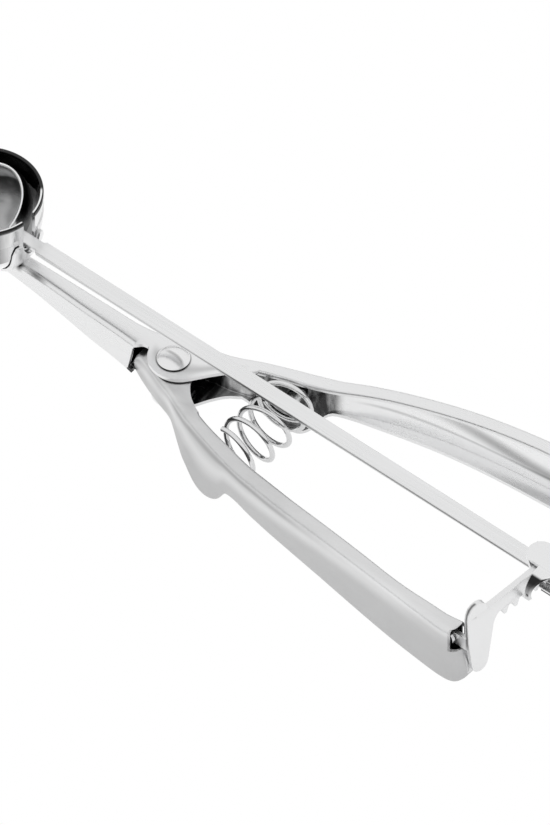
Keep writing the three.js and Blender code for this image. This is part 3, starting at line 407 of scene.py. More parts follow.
def bowl_shade(tree, x, y, z):
    """A rim painted bright beside the shaft and dark further round; a wall painted near black far off and
    bright near by; all painted reflection, with painted shade under the rim and on part of the outside.
    """
    radius = distance_to(x, y, 0.0, 0.0)
    hollow = 1.0 - radius.ramp(BOWL_INNER + 0.04, BOWL_INNER + 0.16)
    # Painted reflection on the rim: bright beside the shaft, dark further round, with a painted dark line.
    painted_bright = bowl_painted_highlight_part(x, y)
    rim = z.ramp(BOWL_RIM - GROOVE, BOWL_RIM - 0.85)
    painted_rim_line = radius.ramp(BOWL_INNER + 0.56, BOWL_INNER + 0.62)
    rim_tone = painted_bright * (1.0 - painted_rim_line * PAINTED_SHADE_SHARE) + (1.0 - painted_bright) * 0.05
    clouded = noise(tree, combine(tree, x, y, z), 0.22, 2.0).ramp(0.40, 0.66)
    # Painted reflection on the inner wall, near black far off and bright near by; the floor painted lighter
    # low down.
    painted_bright_wall = (x * 0.64 - y * 0.77).ramp(1.0, 6.0)
    painted_wall_tone = (clouded * 0.10 + 0.035) * (1.0 - painted_bright_wall) + painted_bright_wall * 0.85
    painted_floor_light = (-4.0 - z).ramp(0.0, 8.0) * 0.5 + 0.12
    inner = painted_wall_tone + painted_floor_light * (1.0 - z.ramp(-6.0, 0.0))
    streaks = noise(tree, combine(tree, x * 0.5, y * 0.5, z * 0.08), 1.0, 2.0).ramp(0.35, 0.7)
    # Painted shade on part of the outside.
    shaded = (1.0 - x.ramp(10.5, 13.6)) * (1.0 - y.ramp(-3.0, 1.0)) * 0.5
    outside = 0.94 - shaded - streaks * 0.14
    # Painted shade in the groove under the rim.
    painted_under_rim_shade = z.bump_at(BOWL_RIM - GROOVE, 0.3) * (1.0 - hollow)
    body = inner * hollow + outside * (1.0 - hollow)
    return (body * (1.0 - rim) + rim_tone * rim) * (1.0 - painted_under_rim_shade * 0.85)


def bowl_painted_highlight(tree, x, y, z):
    """The rim's crest painted pale as a highlight, and a painted soft light at the bottom of the bowl."""
    radius = distance_to(x, y, 0.0, 0.0)
    painted_crest_highlight = radius.bump_at(BOWL_INNER + 0.30, 0.26) * z.ramp(BOWL_RIM - 0.35, BOWL_RIM - 0.15)
    depth = (x * x + y * y + z * z).math("SQRT")
    inner = 1.0 - depth.ramp(BOWL_INNER + 0.1, BOWL_INNER + 0.3)
    low = 1.0 - (z - x * 0.35).ramp(-8.5, -1.5)
    return (painted_crest_highlight * bowl_painted_highlight_part(x, y) + inner * low * 0.85).clamp()


def scraper_lean(y, z):
    """How far across the scraper's strip a place lies."""
    return z * math.cos(SCRAPER_REST) - y * math.sin(SCRAPER_REST)


def scraper_edge_highlight(lean):
    """The upper edge of the scraper's strip, painted white as a highlight."""
    return lean.ramp(SCRAPER_EDGE - 0.16, SCRAPER_EDGE - 0.08)


def scraper_shade(tree, x, y, z):
    """Clouded grey, painted paler below its middle, with a painted highlight on the upper edge and a painted
    dark line by the lower one.
    """
    lean = scraper_lean(y, z)
    clouded = noise(tree, combine(tree, x, y, z), 0.16, 2.0).ramp(0.35, 0.7)
    # Painted dark line by the lower edge, and the strip painted paler below its middle.
    painted_lower_line = lean.bump_at(-SCRAPER_HALF_WIDTH + 0.5, 0.8)
    strip = (clouded * 0.35 + 0.22 + lean.bump_at(-1.5, 3.0) * 0.35) * (1.0 - painted_lower_line * 0.85)
    return strip.math("MAXIMUM", scraper_edge_highlight(lean))


def scraper_painted_highlight(tree, x, y, z):
    """The edge painted pale and not metallic as a highlight, and partly the strip's middle as painted light
    in place of a mirror of the dark wall.
    """
    lean = scraper_lean(y, z)
    return (lean.bump_at(-1.0, 3.4) * 0.30).math("MAXIMUM", scraper_edge_highlight(lean))


def rivet_shade(tree, x, y, z):
    """A pale head with a painted soft dark reflection line that bends down on the side away from the bowl."""
    along = x - PIVOT_X
    past = (along - 0.5).math("MAXIMUM", 0.0)
    line_here = (y - PIVOT_Y) - (0.15 - past * past * 0.075)
    ends = along.ramp(-3.2, -1.0) * (1.0 - along.ramp(2.6, 3.8))
    return 1.0 - line_here.bump_at(0.0, 0.75) * ends * 0.42


def shaft_shade(tree, x, y, z):
    """A painted dark shade line along the shaft's near edge, stronger towards the pinion."""
    near_side = 1.0 - y.ramp(-2.0, -1.85)
    strength = x.ramp(40, 165) * 0.32 + 0.55
    fine = noise(tree, combine(tree, x * 0.04, y * 3.0, z * 9.0), 1.0, 2.0).ramp(0.35, 0.6)
    return 1.0 - z.bump_at(0.12, 0.50) * near_side * strength * (fine * 0.5 + 0.5)


def rack_shade(tree, x, y, z):
    """A painted dark shade line along the cut edge of the head."""
    cut_edge = distance_to(x, y, PIVOT_X, PIVOT_Y).bump_at(RACK_RADIUS, 0.62)
    head = (1.0 - y.ramp(-28.0, -27.4)) * z.ramp(-4.0, 0.0)
    return 1.0 - cut_edge * head * 0.80


def yoke_shade(tree, x, y, z):
    """Plain but for the claw, painted dark as shade under the cap and pale at its tip."""
    # The claw painted dark as shade under the cap, paler towards its tip.
    claw = (1.0 - y.ramp(-9.4, -8.8)) * (1.0 - z.ramp(CAP_Z - 0.3, CAP_Z + 0.1))
    claw_painted_shade = (1.0 - z.ramp(6.4, 10.8)) * 0.80 + 0.03
    return claw * claw_painted_shade + (1.0 - claw)


def make_materials():
    """The steels, by material slot and, for the pieces with painted light and shade of their own, by node."""
    return {
        "polished_steel": steel("polished_steel", 0.86, 0.07, rough_share=0.03),
        "satin_steel": steel("satin_steel", 0.82, 0.20, grain_bump=0.02, wave=0.2),
        "brushed_steel": steel("brushed_steel", 0.82, 0.28, grain_share=0.12, grain_bump=0.25),
        "spring_steel": steel("spring_steel", 0.76, 0.10),
        "shade_sheet": steel("satin_steel_of_shade_sheet", 0.82, 0.34, grain_share=0.05, shade=shade_sheet_tone),
        "moving_handle": steel(
            "satin_steel_of_moving_handle", 0.82, 0.34, grain_share=0.05, wave=0.25, shade=moving_handle_shade
        ),
        "fixed_handle": steel(
            "satin_steel_of_fixed_handle", 0.83, 0.28, grain_share=0.04, wave=0.15, shade=fixed_handle_shade
        ),
        "bowl": steel(
            "polished_steel_of_bowl", 0.90, 0.12, rough_share=0.03, shade=bowl_shade, painted_highlight=bowl_painted_highlight
        ),
        "scraper": steel(
            "polished_steel_of_scraper", 0.86, 0.18, rough_share=0.03, shade=scraper_shade, painted_highlight=scraper_painted_highlight
        ),
        "drive_shaft": steel(
            "brushed_steel_of_shaft", 0.82, 0.28, grain_share=0.12, grain_bump=0.25, shade=shaft_shade
        ),
        "rack": steel("satin_steel_of_rack", 0.82, 0.36, wave=0.1, shade=rack_shade),
        "rack_yoke": steel("polished_steel_of_yoke", 0.84, 0.16, rough_share=0.03, shade=yoke_shade),
        "pivot_rivet": steel("polished_steel_of_rivet", 0.84, 0.24, rough_share=0.03, shade=rivet_shade),
    }


# Brightness of what the steel reflects, and the table's half width and drop in metres
CEILING = 0.93
HORIZON = 0.10
HORIZON_WIDTH = 0.22
TABLE_GLOW = 0.62
TABLE_TONE = 0.42
TABLE_HALF, TABLE_DROP = 3.0, 0.0003


def end_tree(tree, output, reflected, seen):
    """Ends a tree in two shaders: the one that the steel reflects and the one that the camera sees."""
    camera_ray = add_node(tree, "LightPath").outputs["Is Camera Ray"]
    mix = add_node(tree, "MixShader", sockets={0: camera_ray, 1: reflected.outputs[0], 2: seen.outputs[0]})
    add_node(tree, output, sockets={"Surface": mix.outputs[0]})


def make_world():
    """White behind the tool; the steel reflects a bright ceiling that darkens to a grey horizon."""
    world = bpy.data.worlds.new("studio")
    bpy.context.scene.world = world
    world.use_nodes = True
    tree = world.node_tree
    tree.nodes.clear()
    height = separate(tree, add_node(tree, "TexCoord").outputs["Generated"])[2]
    light = height.ramp(0.0, HORIZON_WIDTH) * (CEILING - HORIZON) + HORIZON
    studio = add_node(tree, "Background", sockets={"Color": light.clamp()})
    white = add_node(tree, "Background", sockets={"Color": (1.0, 1.0, 1.0, 1.0)})
    end_tree(tree, "OutputWorld", studio, white)


def make_floor():
    """The table: plain white to the camera, a real pale board with the tool's shade to the steel."""
    mesh = bpy.data.meshes.new("table_top")
    corners = [(x * TABLE_HALF, y * TABLE_HALF, 0) for x, y in ((-1, -1), (1, -1), (1, 1), (-1, 1))]
    mesh.from_pydata(corners, [], [(0, 1, 2, 3)])
    table = bpy.data.objects.new("table_top", mesh)
    bpy.context.scene.collection.objects.link(table)
    table.location.z = -TABLE_DROP
    material = bpy.data.materials.new("table_white")
    material.use_nodes = True
    tree = material.node_tree
    tree.nodes.clear()
    board = add_node(tree, "BsdfDiffuse", sockets={"Color": (TABLE_TONE, TABLE_TONE, TABLE_TONE, 1.0)})
    glow = add_node(tree, "Emission", sockets={"Strength": TABLE_GLOW})
    pale_board = add_node(tree, "AddShader", sockets={0: board.outputs[0], 1: glow.outputs[0]})
    white = add_node(tree, "Emission")
    end_tree(tree, "OutputMaterial", pale_board, white)
    mesh.materials.append(material)


BODY_OF = {
    node_name: body_name
    for body_name, node_names in frame["record"]["behaviour"]["bodies"].items()
    for node_name in node_names
}
SLOT_OF = {entry["node"]: entry["material_slot"] for entry in frame["record"]["subparts"]}


# Distances in metres: points nearer than the first two are one, in new pieces and in copies of the CAD, and
# an edge shorter than the third has no length
SAME_POINT, SAME_CAD_POINT, NO_LENGTH = 1e-8, 2e-6, 1e-9
# Angles in degrees: edges sharper than the first three stay sharp, in new pieces, in the bowl and in copies,
# and faces of a copy that differ by less than the last are joined
SHARP, SHARP_RIM, SHARP_COPY, FLAT = 35.0, 28.0, 30.0, 0.5
# The rounded edges of copies, in millimetres: the larger pieces' and the small ones'
BEVEL, SMALL_BEVEL = 0.12, 0.08


def finish_piece(piece, node, materials, tone=None):
    """Gives a piece its metal and its body, and hides the CAD node that it stands for."""
    slot = SLOT_OF[node]
    piece.data.materials.clear()
    piece.data.materials.append(materials.get(tone or node) or materials[slot])
    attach(piece, BODY_OF[node])
    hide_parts(node)
    return piece


def mesh_of(name, points, faces, section=None):
    """A closed mesh of points of the tool's frame, its faces turned outwards."""
    mesh = bpy.data.meshes.new(name)
    mesh.from_pydata(place(points).tolist(), [], faces)
    if section is not None:
        layer = mesh.uv_layers.new(name=SECTION_LAYER)
        layer.data.foreach_set("uv", np.asarray(section, float).ravel())
    work = bmesh.new()
    work.from_mesh(mesh)
    bmesh.ops.remove_doubles(work, verts=work.verts, dist=SAME_POINT)
    bmesh.ops.dissolve_degenerate(work, edges=work.edges, dist=NO_LENGTH)
    bmesh.ops.recalc_face_normals(work, faces=work.faces)
    work.to_mesh(mesh)
    work.free()
    return mesh


def new_piece(name, points, faces, section=None, sharp=SHARP, cutters=()):
    """A piece of the tool, smooth but for edges sharper than an angle, with other shapes cut out of it."""
    piece = bpy.data.objects.new(name, mesh_of(name, points, faces, section))
    bpy.context.scene.collection.objects.link(piece)
    if cutters:
        blocks = []
        for cut_points, cut_faces in cutters:
            block = bpy.data.objects.new(name + "_cut", mesh_of(name + "_cut", cut_points, cut_faces))
            bpy.context.scene.collection.objects.link(block)
            modifier = piece.modifiers.new("cut", "BOOLEAN")
            modifier.operation = "DIFFERENCE"
            modifier.solver = "EXACT"
            modifier.object = block
            blocks.append(block)
        graph = bpy.context.evaluated_depsgraph_get()
        graph.update()
        finished = bpy.data.meshes.new_from_object(piece.evaluated_get(graph))
        piece.modifiers.clear()
        piece.data = finished
        for block in blocks:
            bpy.data.objects.remove(block)
    piece.data.shade_smooth()
    piece.data.set_sharp_from_angle(angle=math.radians(sharp))
    return piece


def bevelled_copy(node, materials, bevel):
    """The CAD node's own shape, its doubles merged and flats joined, with small rounded edges."""
    sharp = math.radians(SHARP_COPY)
    source = frame["nodes"][node]
    mesh = source.data.copy()
    mesh.transform(source.matrix_world)
    mesh.name = node + "_steel"
    work = bmesh.new()
    work.from_mesh(mesh)
    bmesh.ops.remove_doubles(work, verts=work.verts, dist=SAME_CAD_POINT)
    bmesh.ops.dissolve_limit(
        work, angle_limit=math.radians(FLAT), verts=work.verts, edges=work.edges, delimit=set()
    )
    work.to_mesh(mesh)
    work.free()
    mesh.shade_smooth()
    mesh.set_sharp_from_angle(angle=sharp)
    piece = bpy.data.objects.new(node + "_steel", mesh)
    bpy.context.scene.collection.objects.link(piece)
    edges = piece.modifiers.new("edges", "BEVEL")
    edges.width = bevel * MILLIMETRE
    edges.segments = 2
    edges.limit_method = "ANGLE"
    edges.angle_limit = sharp
    edges.harden_normals = True
    finish_piece(piece, node, materials)


def line(*pairs):
    """A smooth line through (x, value) pairs: on each stretch a cubic with slopes from its neighbours."""
    xs = np.array([p[0] for p in pairs], float)
    ys = np.array([p[1] for p in pairs], float)
    before = np.maximum(np.arange(len(xs)) - 1, 0)
    after = np.minimum(np.arange(len(xs)) + 1, len(xs) - 1)
    slopes = (ys[after] - ys[before]) / (xs[after] - xs[before])

    def value(x):
        i = int(np.clip(np.searchsorted(xs, x, side="left") - 1, 0, len(xs) - 2))
        span = xs[i + 1] - xs[i]
        t = min(max((x - xs[i]) / span, 0.0), 1.0)
        rise = ys[i + 1] - ys[i]
        first, last = slopes[i] * span - rise, slopes[i + 1] * span - rise
        return ys[i] + rise * t + t * (1 - t) * ((1 - t) * first - t * last)

    return value


# A handle's outer face, inner lip, top and bottom along the tool, from the pivot's centre plane
web_offset = line(
    (48, 1.6), (51, 2.6), (56, 4.7), (61, 6.6), (65, 8.0), (69.5, 10.1), (74.5, 12.5), (85.5, 16.3),
    (96, 19.4), (107.3, 22.6), (118, 25.0), (131, 27.4), (144, 29.4), (155, 30.8), (168, 32.0), (174, 32.4),
)
lip_offset = line(
    (70, 5.0), (73, 7.6), (76, 9.2), (82, 11.3), (89.5, 13.3), (96, 15.2), (106, 18.0), (114, 20.0),
    (128, 22.8), (142, 25.2), (154, 26.8), (168, 27.2), (174, 27.5),
)
handle_top = line(
    (60, -8), (74, -8), (82, -7.4), (90, -6.7), (97, -5.7), (104, -3.7), (112, -1.7), (126, 1.1),
    (138, 2.8), (150, 3.7), (160, 4.1), (174, 4.2),
)
fixed_bottom = line(
    (66.5, -20.5), (69.5, -21.5), (73, -22.8), (77, -24.4), (81, -26.0), (85, -26.5), (88, -26.3),
    (90, -25.1), (91.5, -22.8), (93, -20.2), (95, -18.3), (101, -16.9), (105, -16.2), (116, -14.8),
    (130, -13.9), (156, -14.1), (174, -14.2),
)
moving_bottom = line(
    (69.5, -21.6), (73, -22.9), (76, -23.9), (80, -25.8), (83, -26.2), (86, -25.2), (88, -23.5),
    (89.5, -21.0), (91, -19.0), (95, -17.7), (101, -16.9), (105, -16.2), (116, -14.8), (130, -13.9),
    (156, -14.1), (174, -14.2),
)
lobe_flare = line((60, 0), (67, 0), (74, 1.0), (79, 1.4), (84, 1.0), (91, 0), (100, 0))
bottom_flange = line(
    (68, 1.0), (72.5, 1.7), (76, 3.0), (80, 4.0), (86, 4.3), (88.5, 3.9), (91, 2.3), (93, 1.5),
    (98, 1.9), (109, 3.4), (123, 4.2), (140, 4.8), (156, 5.4), (174, 5.6),
)
top_rounding = line((60, 1.2), (98, 1.2), (110, 1.7), (125, 2.2), (150, 2.5), (174, 2.5))
# How far a handle's end is drawn in and its lip drawn back, so that the end is round
end_tuck = line((164, 0), (169, 0), (171, 0.15), (172.4, 0.75), (173.3, 1.85), (173.7, 3.1))
end_reach = line((164, 0), (168, 0), (171, 0.6), (173.7, 1.7))

# The fixed handle's shank and ears
shank_bottom = line(
    (5, -12.4), (11, -13.0), (20, -14.3), (28, -15.4), (36, -16.7), (44, -17.7), (49.8, -18.8),
    (54, -20.5),
)
shank_near = line((5, 2.2), (18, 2.3), (24, 2.6), (33, 3.1), (44, 3.5), (50, 3.85))
shank_half = line((5, 2.2), (18, 2.4), (36, 2.6), (48, 2.7), (50, 2.9))
shank_web = line((44, 3.6), (48, 3.9), (51, 4.4), (55, 5.6), (60, 7.3), (65, 8.9), (70, 10.3), (76, 13))
ear_lip = line(
    (49.8, -2.8), (50.5, -2.0), (51.4, -1.1), (52.6, -0.8), (53.3, -1.2), (54.2, -2.85), (55.5, -4.3),
    (57, -5.2), (59, -5.8), (61, -5.9),
    (63, -5.5), (65, -4.4), (66.5, -2.9), (68, -0.8), (70, 2.0), (72.5, 5.0), (75, 7.2), (78, 9.0),
)
lower_ear = line(
    (48, 3.0), (51, 2.4), (54.4, -2.0), (57, -4.4), (60, -5.1), (63, -4.6), (65, -3.0), (66.5, -0.4),
    (68, 3.4), (70, 7.4), (72.5, 10.4),
)

# The moving handle's nose
nose_lip = line(
    (49.4, -1.2), (51.5, -1.5), (53, -2.0), (54.6, -3.0), (55.6, -3.8), (57, -4.4), (59, -4.9), (61, -4.9),
    (63, -4.2), (64.6, -2.6), (65.6, -1.0), (67.2, 2.2), (70, 5.4), (73, 7.6),
)
nose_top = line(
    (49.4, -13.6), (50.2, -12.0), (51.5, -10.8), (53, -10.0), (55.6, -9.5), (57, -9.4), (69, -9.4),
    (72, -8.9), (76, -8.0), (80, -7.6),
)
nose_bottom = line(
    (49.4, -17.6), (50.2, -18.4), (51.5, -18.9), (53, -19.1), (66.0, -19.1), (67.5, -20.1), (69.5, -21.6),
)

# How many steps a bend has, and the shank's rounded lip and narrowest flange
CORNER_STEPS = 6
SHANK_ROUND = 1.5
SHANK_FLANGE = 1.3

# A handle section's points as shares of the way from the lip over the top and down the web to the foot
SECTION_SHARES = np.concatenate(
    [
        np.linspace(0, 0.25, CORNER_STEPS + 2), [0.28],
        np.linspace(0.32, 0.40, 2 * CORNER_STEPS + 1), [0.55, 0.65],
        np.linspace(0.80, 0.90, CORNER_STEPS + 1), [1.0],
    ]
)
# What is added to those shares on the sheet's inner side, the share of its cut edges, and where between the
# two the inside begins
INNER_SIDE, CUT_EDGE = 2.0, 1.2
INSIDE_FROM = (1.6, 1.9)


def rounded_corner(y, z, radius, start, end, steps):
    """Points of a circle's arc between two angles about a centre."""
    angles = np.radians(np.linspace(start, end, steps + 1))
    return [(y + radius * math.cos(a), z + radius * math.sin(a)) for a in angles]


def set_in(section, distance):
    """A bent line moved sideways by the sheet's thickness, along the mean of its neighbours' squares."""
    points = np.asarray(section, float)
    before = np.diff(points, axis=0, prepend=2 * points[:1] - points[1:2])
    after = np.diff(points, axis=0, append=2 * points[-1:] - points[-2:-1])

    def square(v):
        normal = np.stack([v[:, 1], -v[:, 0]], axis=1)
        return normal / np.linalg.norm(normal, axis=1, keepdims=True)

    first = square(before)
    middle = first + square(after)
    middle /= np.linalg.norm(middle, axis=1, keepdims=True)
    share = np.maximum((middle * first).sum(axis=1, keepdims=True), 0.5)
    return points + middle * distance / share


def handle_section(x, side, lip, lip_drop, web, top, bottom, flare, flange, rounding, lip_round=None):
    """One section of a pressed handle: inner lip, top, web and bottom flange, then the same set in."""
    lip_round = lip_round or LEAST_ROUND
    top_round = max(min(rounding, (web - lip) * 0.4, (top - bottom) * 0.3), LEAST_ROUND)
    edge = web + flare
    middle = (top + bottom) / 2
    bottom += 0.01
    height = top - bottom
    if lip_drop > 0:
        inner_edge = [(lip, top - lip_drop)]
        inner_edge += rounded_corner(lip + lip_round, top - lip_round, lip_round, 180, 90, CORNER_STEPS)
    else:
        inner_edge = [(lip + reach, top) for reach in np.linspace(0, 0.75, CORNER_STEPS + 2)]
    half = (
        inner_edge
        + [((lip + web) / 2 - 0.1, top)]
        + rounded_corner(web - top_round, top - top_round, top_round, 90, 0, 2 * CORNER_STEPS)
        + [(web, middle + height * 0.1), (web + flare * 0.35, middle - height * 0.15)]
        + rounded_corner(edge - FOOT, bottom + FOOT, FOOT, 0, -90, CORNER_STEPS)
        + [(edge - max(flange, FOOT + 0.4), bottom)]
    )
    sections = []
    for points in (half, set_in(half, SHEET)):
        points = np.asarray(points)
        along = x + end_bulge(x, points[:, 1])
        sections.append(np.column_stack([along, PIVOT_Y + side * points[:, 0], points[:, 1]]))
    return sections


def end_bulge(x, z):
    """How far a handle's end bulges: a straight rise along the tool times a smooth step down its height."""
    share = np.clip((BULGE_TOP - np.asarray(z)) / BULGE_HEIGHT, 0, 1)
    rise = min(max((x - BULGE_START) / BULGE_LENGTH, 0.0), 1.0)
    return END_BULGE * rise * share * share * (3 - 2 * share)


def fixed_section(x):
    """The fixed handle's section: a closed shank as far as the mouth, then the ears, then the handle."""
    shank = x < MOUTH_X
    if x < 76:
        web = shank_half(x) + 1 if x < 46 else max(shank_half(x) + 1, shank_web(x))
    else:
        web = min(web_offset(x), WIDEST)
    if shank:
        lip = 1 - shank_near(x)
    else:
        lip = ear_lip(x) if x < 78 else lip_offset(x) - end_reach(x)
    bottom = max(EAR_BOTTOM, shank_bottom(x)) if x < 66.5 else fixed_bottom(x)
    top = EAR_TOP if x < 60 else handle_top(x)
    flare = lobe_flare(x)
    tuck = end_tuck(x)
    if 50 <= x < 72.5:
        flange = max(web + flare - tuck - lower_ear(x), 1.4)
    else:
        closed = min(max((x - 34.0) / 8.0, 0.0), 1.0) if shank else 0.0
        across_floor = web + flare - lip - 2 * SHANK_FLANGE
        flange = bottom_flange(x) if x > 72 else SHANK_FLANGE + closed * across_floor
    if shank:
        lip_drop, rounding, lip_round = top - bottom, 1.2, SHANK_ROUND
    else:
        lip_drop, rounding, lip_round = 0.0 if x < 76 else LIP_DROP, top_rounding(x), None
    return handle_section(
        x, 1, lip, lip_drop, web - tuck, top - tuck * TUCK_SHARE, bottom + tuck * TUCK_SHARE, flare, flange,
        rounding, lip_round,
    )


def moving_section(x):
    """The moving handle's section: a nose in the mouth of the shank, two ears, then the handle."""
    tuck = end_tuck(x)
    flare = lobe_flare(x)
    web = min(web_offset(x), WIDEST) - tuck
    lip = nose_lip(x) if x < 73 else lip_offset(x) - end_reach(x)
    top = nose_top(x) if x < 80 else handle_top(x)
    bottom = nose_bottom(x) if x < 69.5 else moving_bottom(x)
    if x < 70:
        flange = max(web + flare - nose_lip(x) - max(x - 64.6, 0) * 3.4, 1.3)
    else:
        flange = bottom_flange(x)
    lip_drop = 0.0 if x < 76 else LIP_DROP
    return handle_section(
        x, -1, lip, lip_drop, web, top - tuck * TUCK_SHARE, bottom + tuck * TUCK_SHARE, flare, flange,
        top_rounding(x),
    )


def finer(stations, steps):
    """Stations with others spaced evenly between them."""
    between = [np.linspace(a, b, steps, endpoint=False) for a, b in zip(stations, stations[1:])]
    return list(np.concatenate(between)) + [stations[-1]]


def ring_faces(rows, sides):
    """Faces between rings of points, each ring joined to the next one all the way round."""
    grid = np.arange(rows * sides).reshape(rows, sides)
    after = np.roll(grid, -1, axis=1)
    return np.stack([grid[:-1], after[:-1], after[1:], grid[1:]], axis=-1).reshape(-1, 4).tolist()


def sheet_faces(rows, columns):
    """Faces of a closed sheet between an outer and an inner grid of points: both grids, then the rim."""
    size = rows * columns
    grid = np.arange(size).reshape(rows, columns)
    outer = np.stack([grid[:-1, :-1], grid[:-1, 1:], grid[1:, 1:], grid[1:, :-1]], axis=-1).reshape(-1, 4)
    inner = outer[:, [0, 3, 2, 1]] + size
    both = np.stack([outer, inner], axis=1).reshape(-1, 4)
    rim = np.concatenate([grid[0], grid[1:, -1], grid[-1, -2::-1], grid[-2:0:-1, 0]])
    after = np.roll(rim, -1)
    edge = np.stack([after, rim, rim + size, after + size], axis=1)
    return np.concatenate([both, edge]).tolist()


def section_corners(stations, faces):
    """For each corner of a handle's faces its place along the tool and its share of the section.

    The share has INNER_SIDE added on the inner side and is CUT_EDGE on the cut edges.
    """
    rows, columns = len(stations), len(SECTION_SHARES)
    along = np.repeat(np.asarray(stations, float), columns)
    across = np.tile(SECTION_SHARES, rows)
    place_of = np.column_stack([np.tile(along, 2), np.concatenate([across, across + INNER_SIDE])])
    size = rows * columns
    corners = np.asarray(faces)
    on_rim = (corners.min(axis=1) < size) & (corners.max(axis=1) >= size)
    places = place_of[corners]
    places[on_rim, :, 1] = CUT_EDGE
    return places


def sheet_shape(outer, inner):
    """Points and faces of the sheet between two grids."""
    outer, inner = np.asarray(outer), np.asarray(inner)
    points = np.concatenate([outer.reshape(-1, 3), inner.reshape(-1, 3)])
    return points, sheet_faces(*outer.shape[:2])


def turned_shape(profile, turn_axis, sides, at=(0.0, 0.0, 0.0)):
    """A (radius, height) profile turned about an axis, its ends closed where they meet it."""
    profile = np.asarray(profile, float)
    angles = np.linspace(0, 2 * math.pi, sides, endpoint=False)
    ring = np.stack([np.cos(angles), np.sin(angles)], axis=1)
    count = len(profile)
    points = np.empty((count, sides, 3))
    across = [axis for axis in range(3) if axis != turn_axis]
    points[..., across[0]] = profile[:, :1] * ring[:, 0]
    points[..., across[1]] = profile[:, :1] * ring[:, 1]
    points[..., turn_axis] = profile[:, 1:]
    return points.reshape(-1, 3) + np.asarray(at, float), ring_faces(count, sides)


def block_shape(x0, x1, y0, y1, z0, z1):
    """A plain block."""
    points = [(x, y, z) for x in (x0, x1) for y in (y0, y1) for z in (z0, z1)]
    faces = [(0, 1, 3, 2), (4, 6, 7, 5), (0, 4, 5, 1), (2, 3, 7, 6), (0, 2, 6, 4), (1, 5, 7, 3)]
    return points, faces


def pin_shape(turn_axis, radius, start, end, at=(0.0, 0.0, 0.0), sides=48):
    """A round pin along an axis."""
    return turned_shape([(0, start), (radius, start), (radius, end), (0, end)], turn_axis, sides, at)


def plate_shape(outline, x0, x1):
    """A flat outline of (y, z) points given a thickness along X."""
    outline = np.asarray(outline, float)
    count = len(outline)
    points = np.concatenate([np.column_stack([np.full(count, x), outline]) for x in (x0, x1)])
    ends = [tuple(range(count)), tuple(range(2 * count - 1, count - 1, -1))]
    return points, ends + ring_faces(2, count)


def curve_points(start, control, end, steps=8):
    """Points of a quadratic curve, without its first one."""
    t = np.linspace(0, 1, steps + 1)[1:, None]
    start, control, end = (np.asarray(p, float) for p in (start, control, end))
    return list(map(tuple, start * (1 - t) ** 2 + control * 2 * t * (1 - t) + end * t**2))


# Rooms cut out: for the rack's hook in the moving handle's end, and for the nose in the shank's floor
END_WINDOW = block_shape(171.6, HANDLE_END + 2, -34, -27.8, -3.3, 3.6)
NOSE_ROOM = block_shape(49.1, 52.0, MOUTH_NEAR, 1.0, -23.0, -15.0)

# Where the handles' sections are worked out
SHANK_STATIONS = [5, 9, 13, 18, 26, 36, 44, 49.7]
FIXED_STATIONS = [
    MOUTH_X, 50.6, 51.5, 52.6, 53.3, 54.3, 55.5, 57, 59, 61, 63, 65, 66.5, 68, 70, 72.5, 75, 78, 81, 84, 87,
    89.5,
]
NOSE_STATIONS = [
    49.4, 50.2, 51.5, 53, 54.6, 55.6, 57, 59, 61, 63, 64.6, 65.6, 67.2, 69.5, 71.5, 73, 76, 79, 82, 85, 87.5,
    89.5,
]
REAR_STATIONS = [92, 96, 104, 113, 122, 132, 142, 152, 161, 168, 170.5, 172, 173, 173.4, HANDLE_END]
STATION_STEPS = 4


def handle_end(name, side, node, materials):
    """The plate that closes a handle's rear end: two of its corners rounded, and bulged like the sheet."""
    tuck, bend = end_tuck(HANDLE_END), END_ROUND
    top = handle_top(HANDLE_END) - tuck * TUCK_SHARE - END_INSET
    bottom = fixed_bottom(HANDLE_END) + tuck * TUCK_SHARE + END_INSET
    out = WIDEST - tuck - END_INSET
    inside = lip_offset(HANDLE_END) - end_reach(HANDLE_END) + END_INSET
    outline = [(inside, top), (out - bend, top)]
    outline += curve_points((out - bend, top), (out, top), (out, top - bend))
    outline += [(out, z) for z in np.linspace(top - bend, bottom + bend, 9)[1:]]
    outline += curve_points((out, bottom + bend), (out, bottom), (out - bend, bottom))
    outline += [(inside, z) for z in np.linspace(bottom, top, 10)[:-1]]
    outline = [(PIVOT_Y + side * y, z) for y, z in outline]
    cutters = [END_WINDOW] if side < 0 else []
    points, faces = plate_shape(outline, HANDLE_END - SHEET, HANDLE_END + END_PROUD)
    points[:, 0] += end_bulge(HANDLE_END, points[:, 2])
    finish_piece(new_piece(name, points, faces, cutters=cutters), node, materials)


def handle_sheet(name, node, stations, section_at, cutters, materials):
    """One pressed handle: the sheet through its sections, with the rooms cut out of it."""
    sections = [section_at(x) for x in stations]
    points, faces = sheet_shape([s[0] for s in sections], [s[1] for s in sections])
    piece = new_piece(name, points, faces, section_corners(stations, faces), cutters=cutters)
    finish_piece(piece, node, materials)


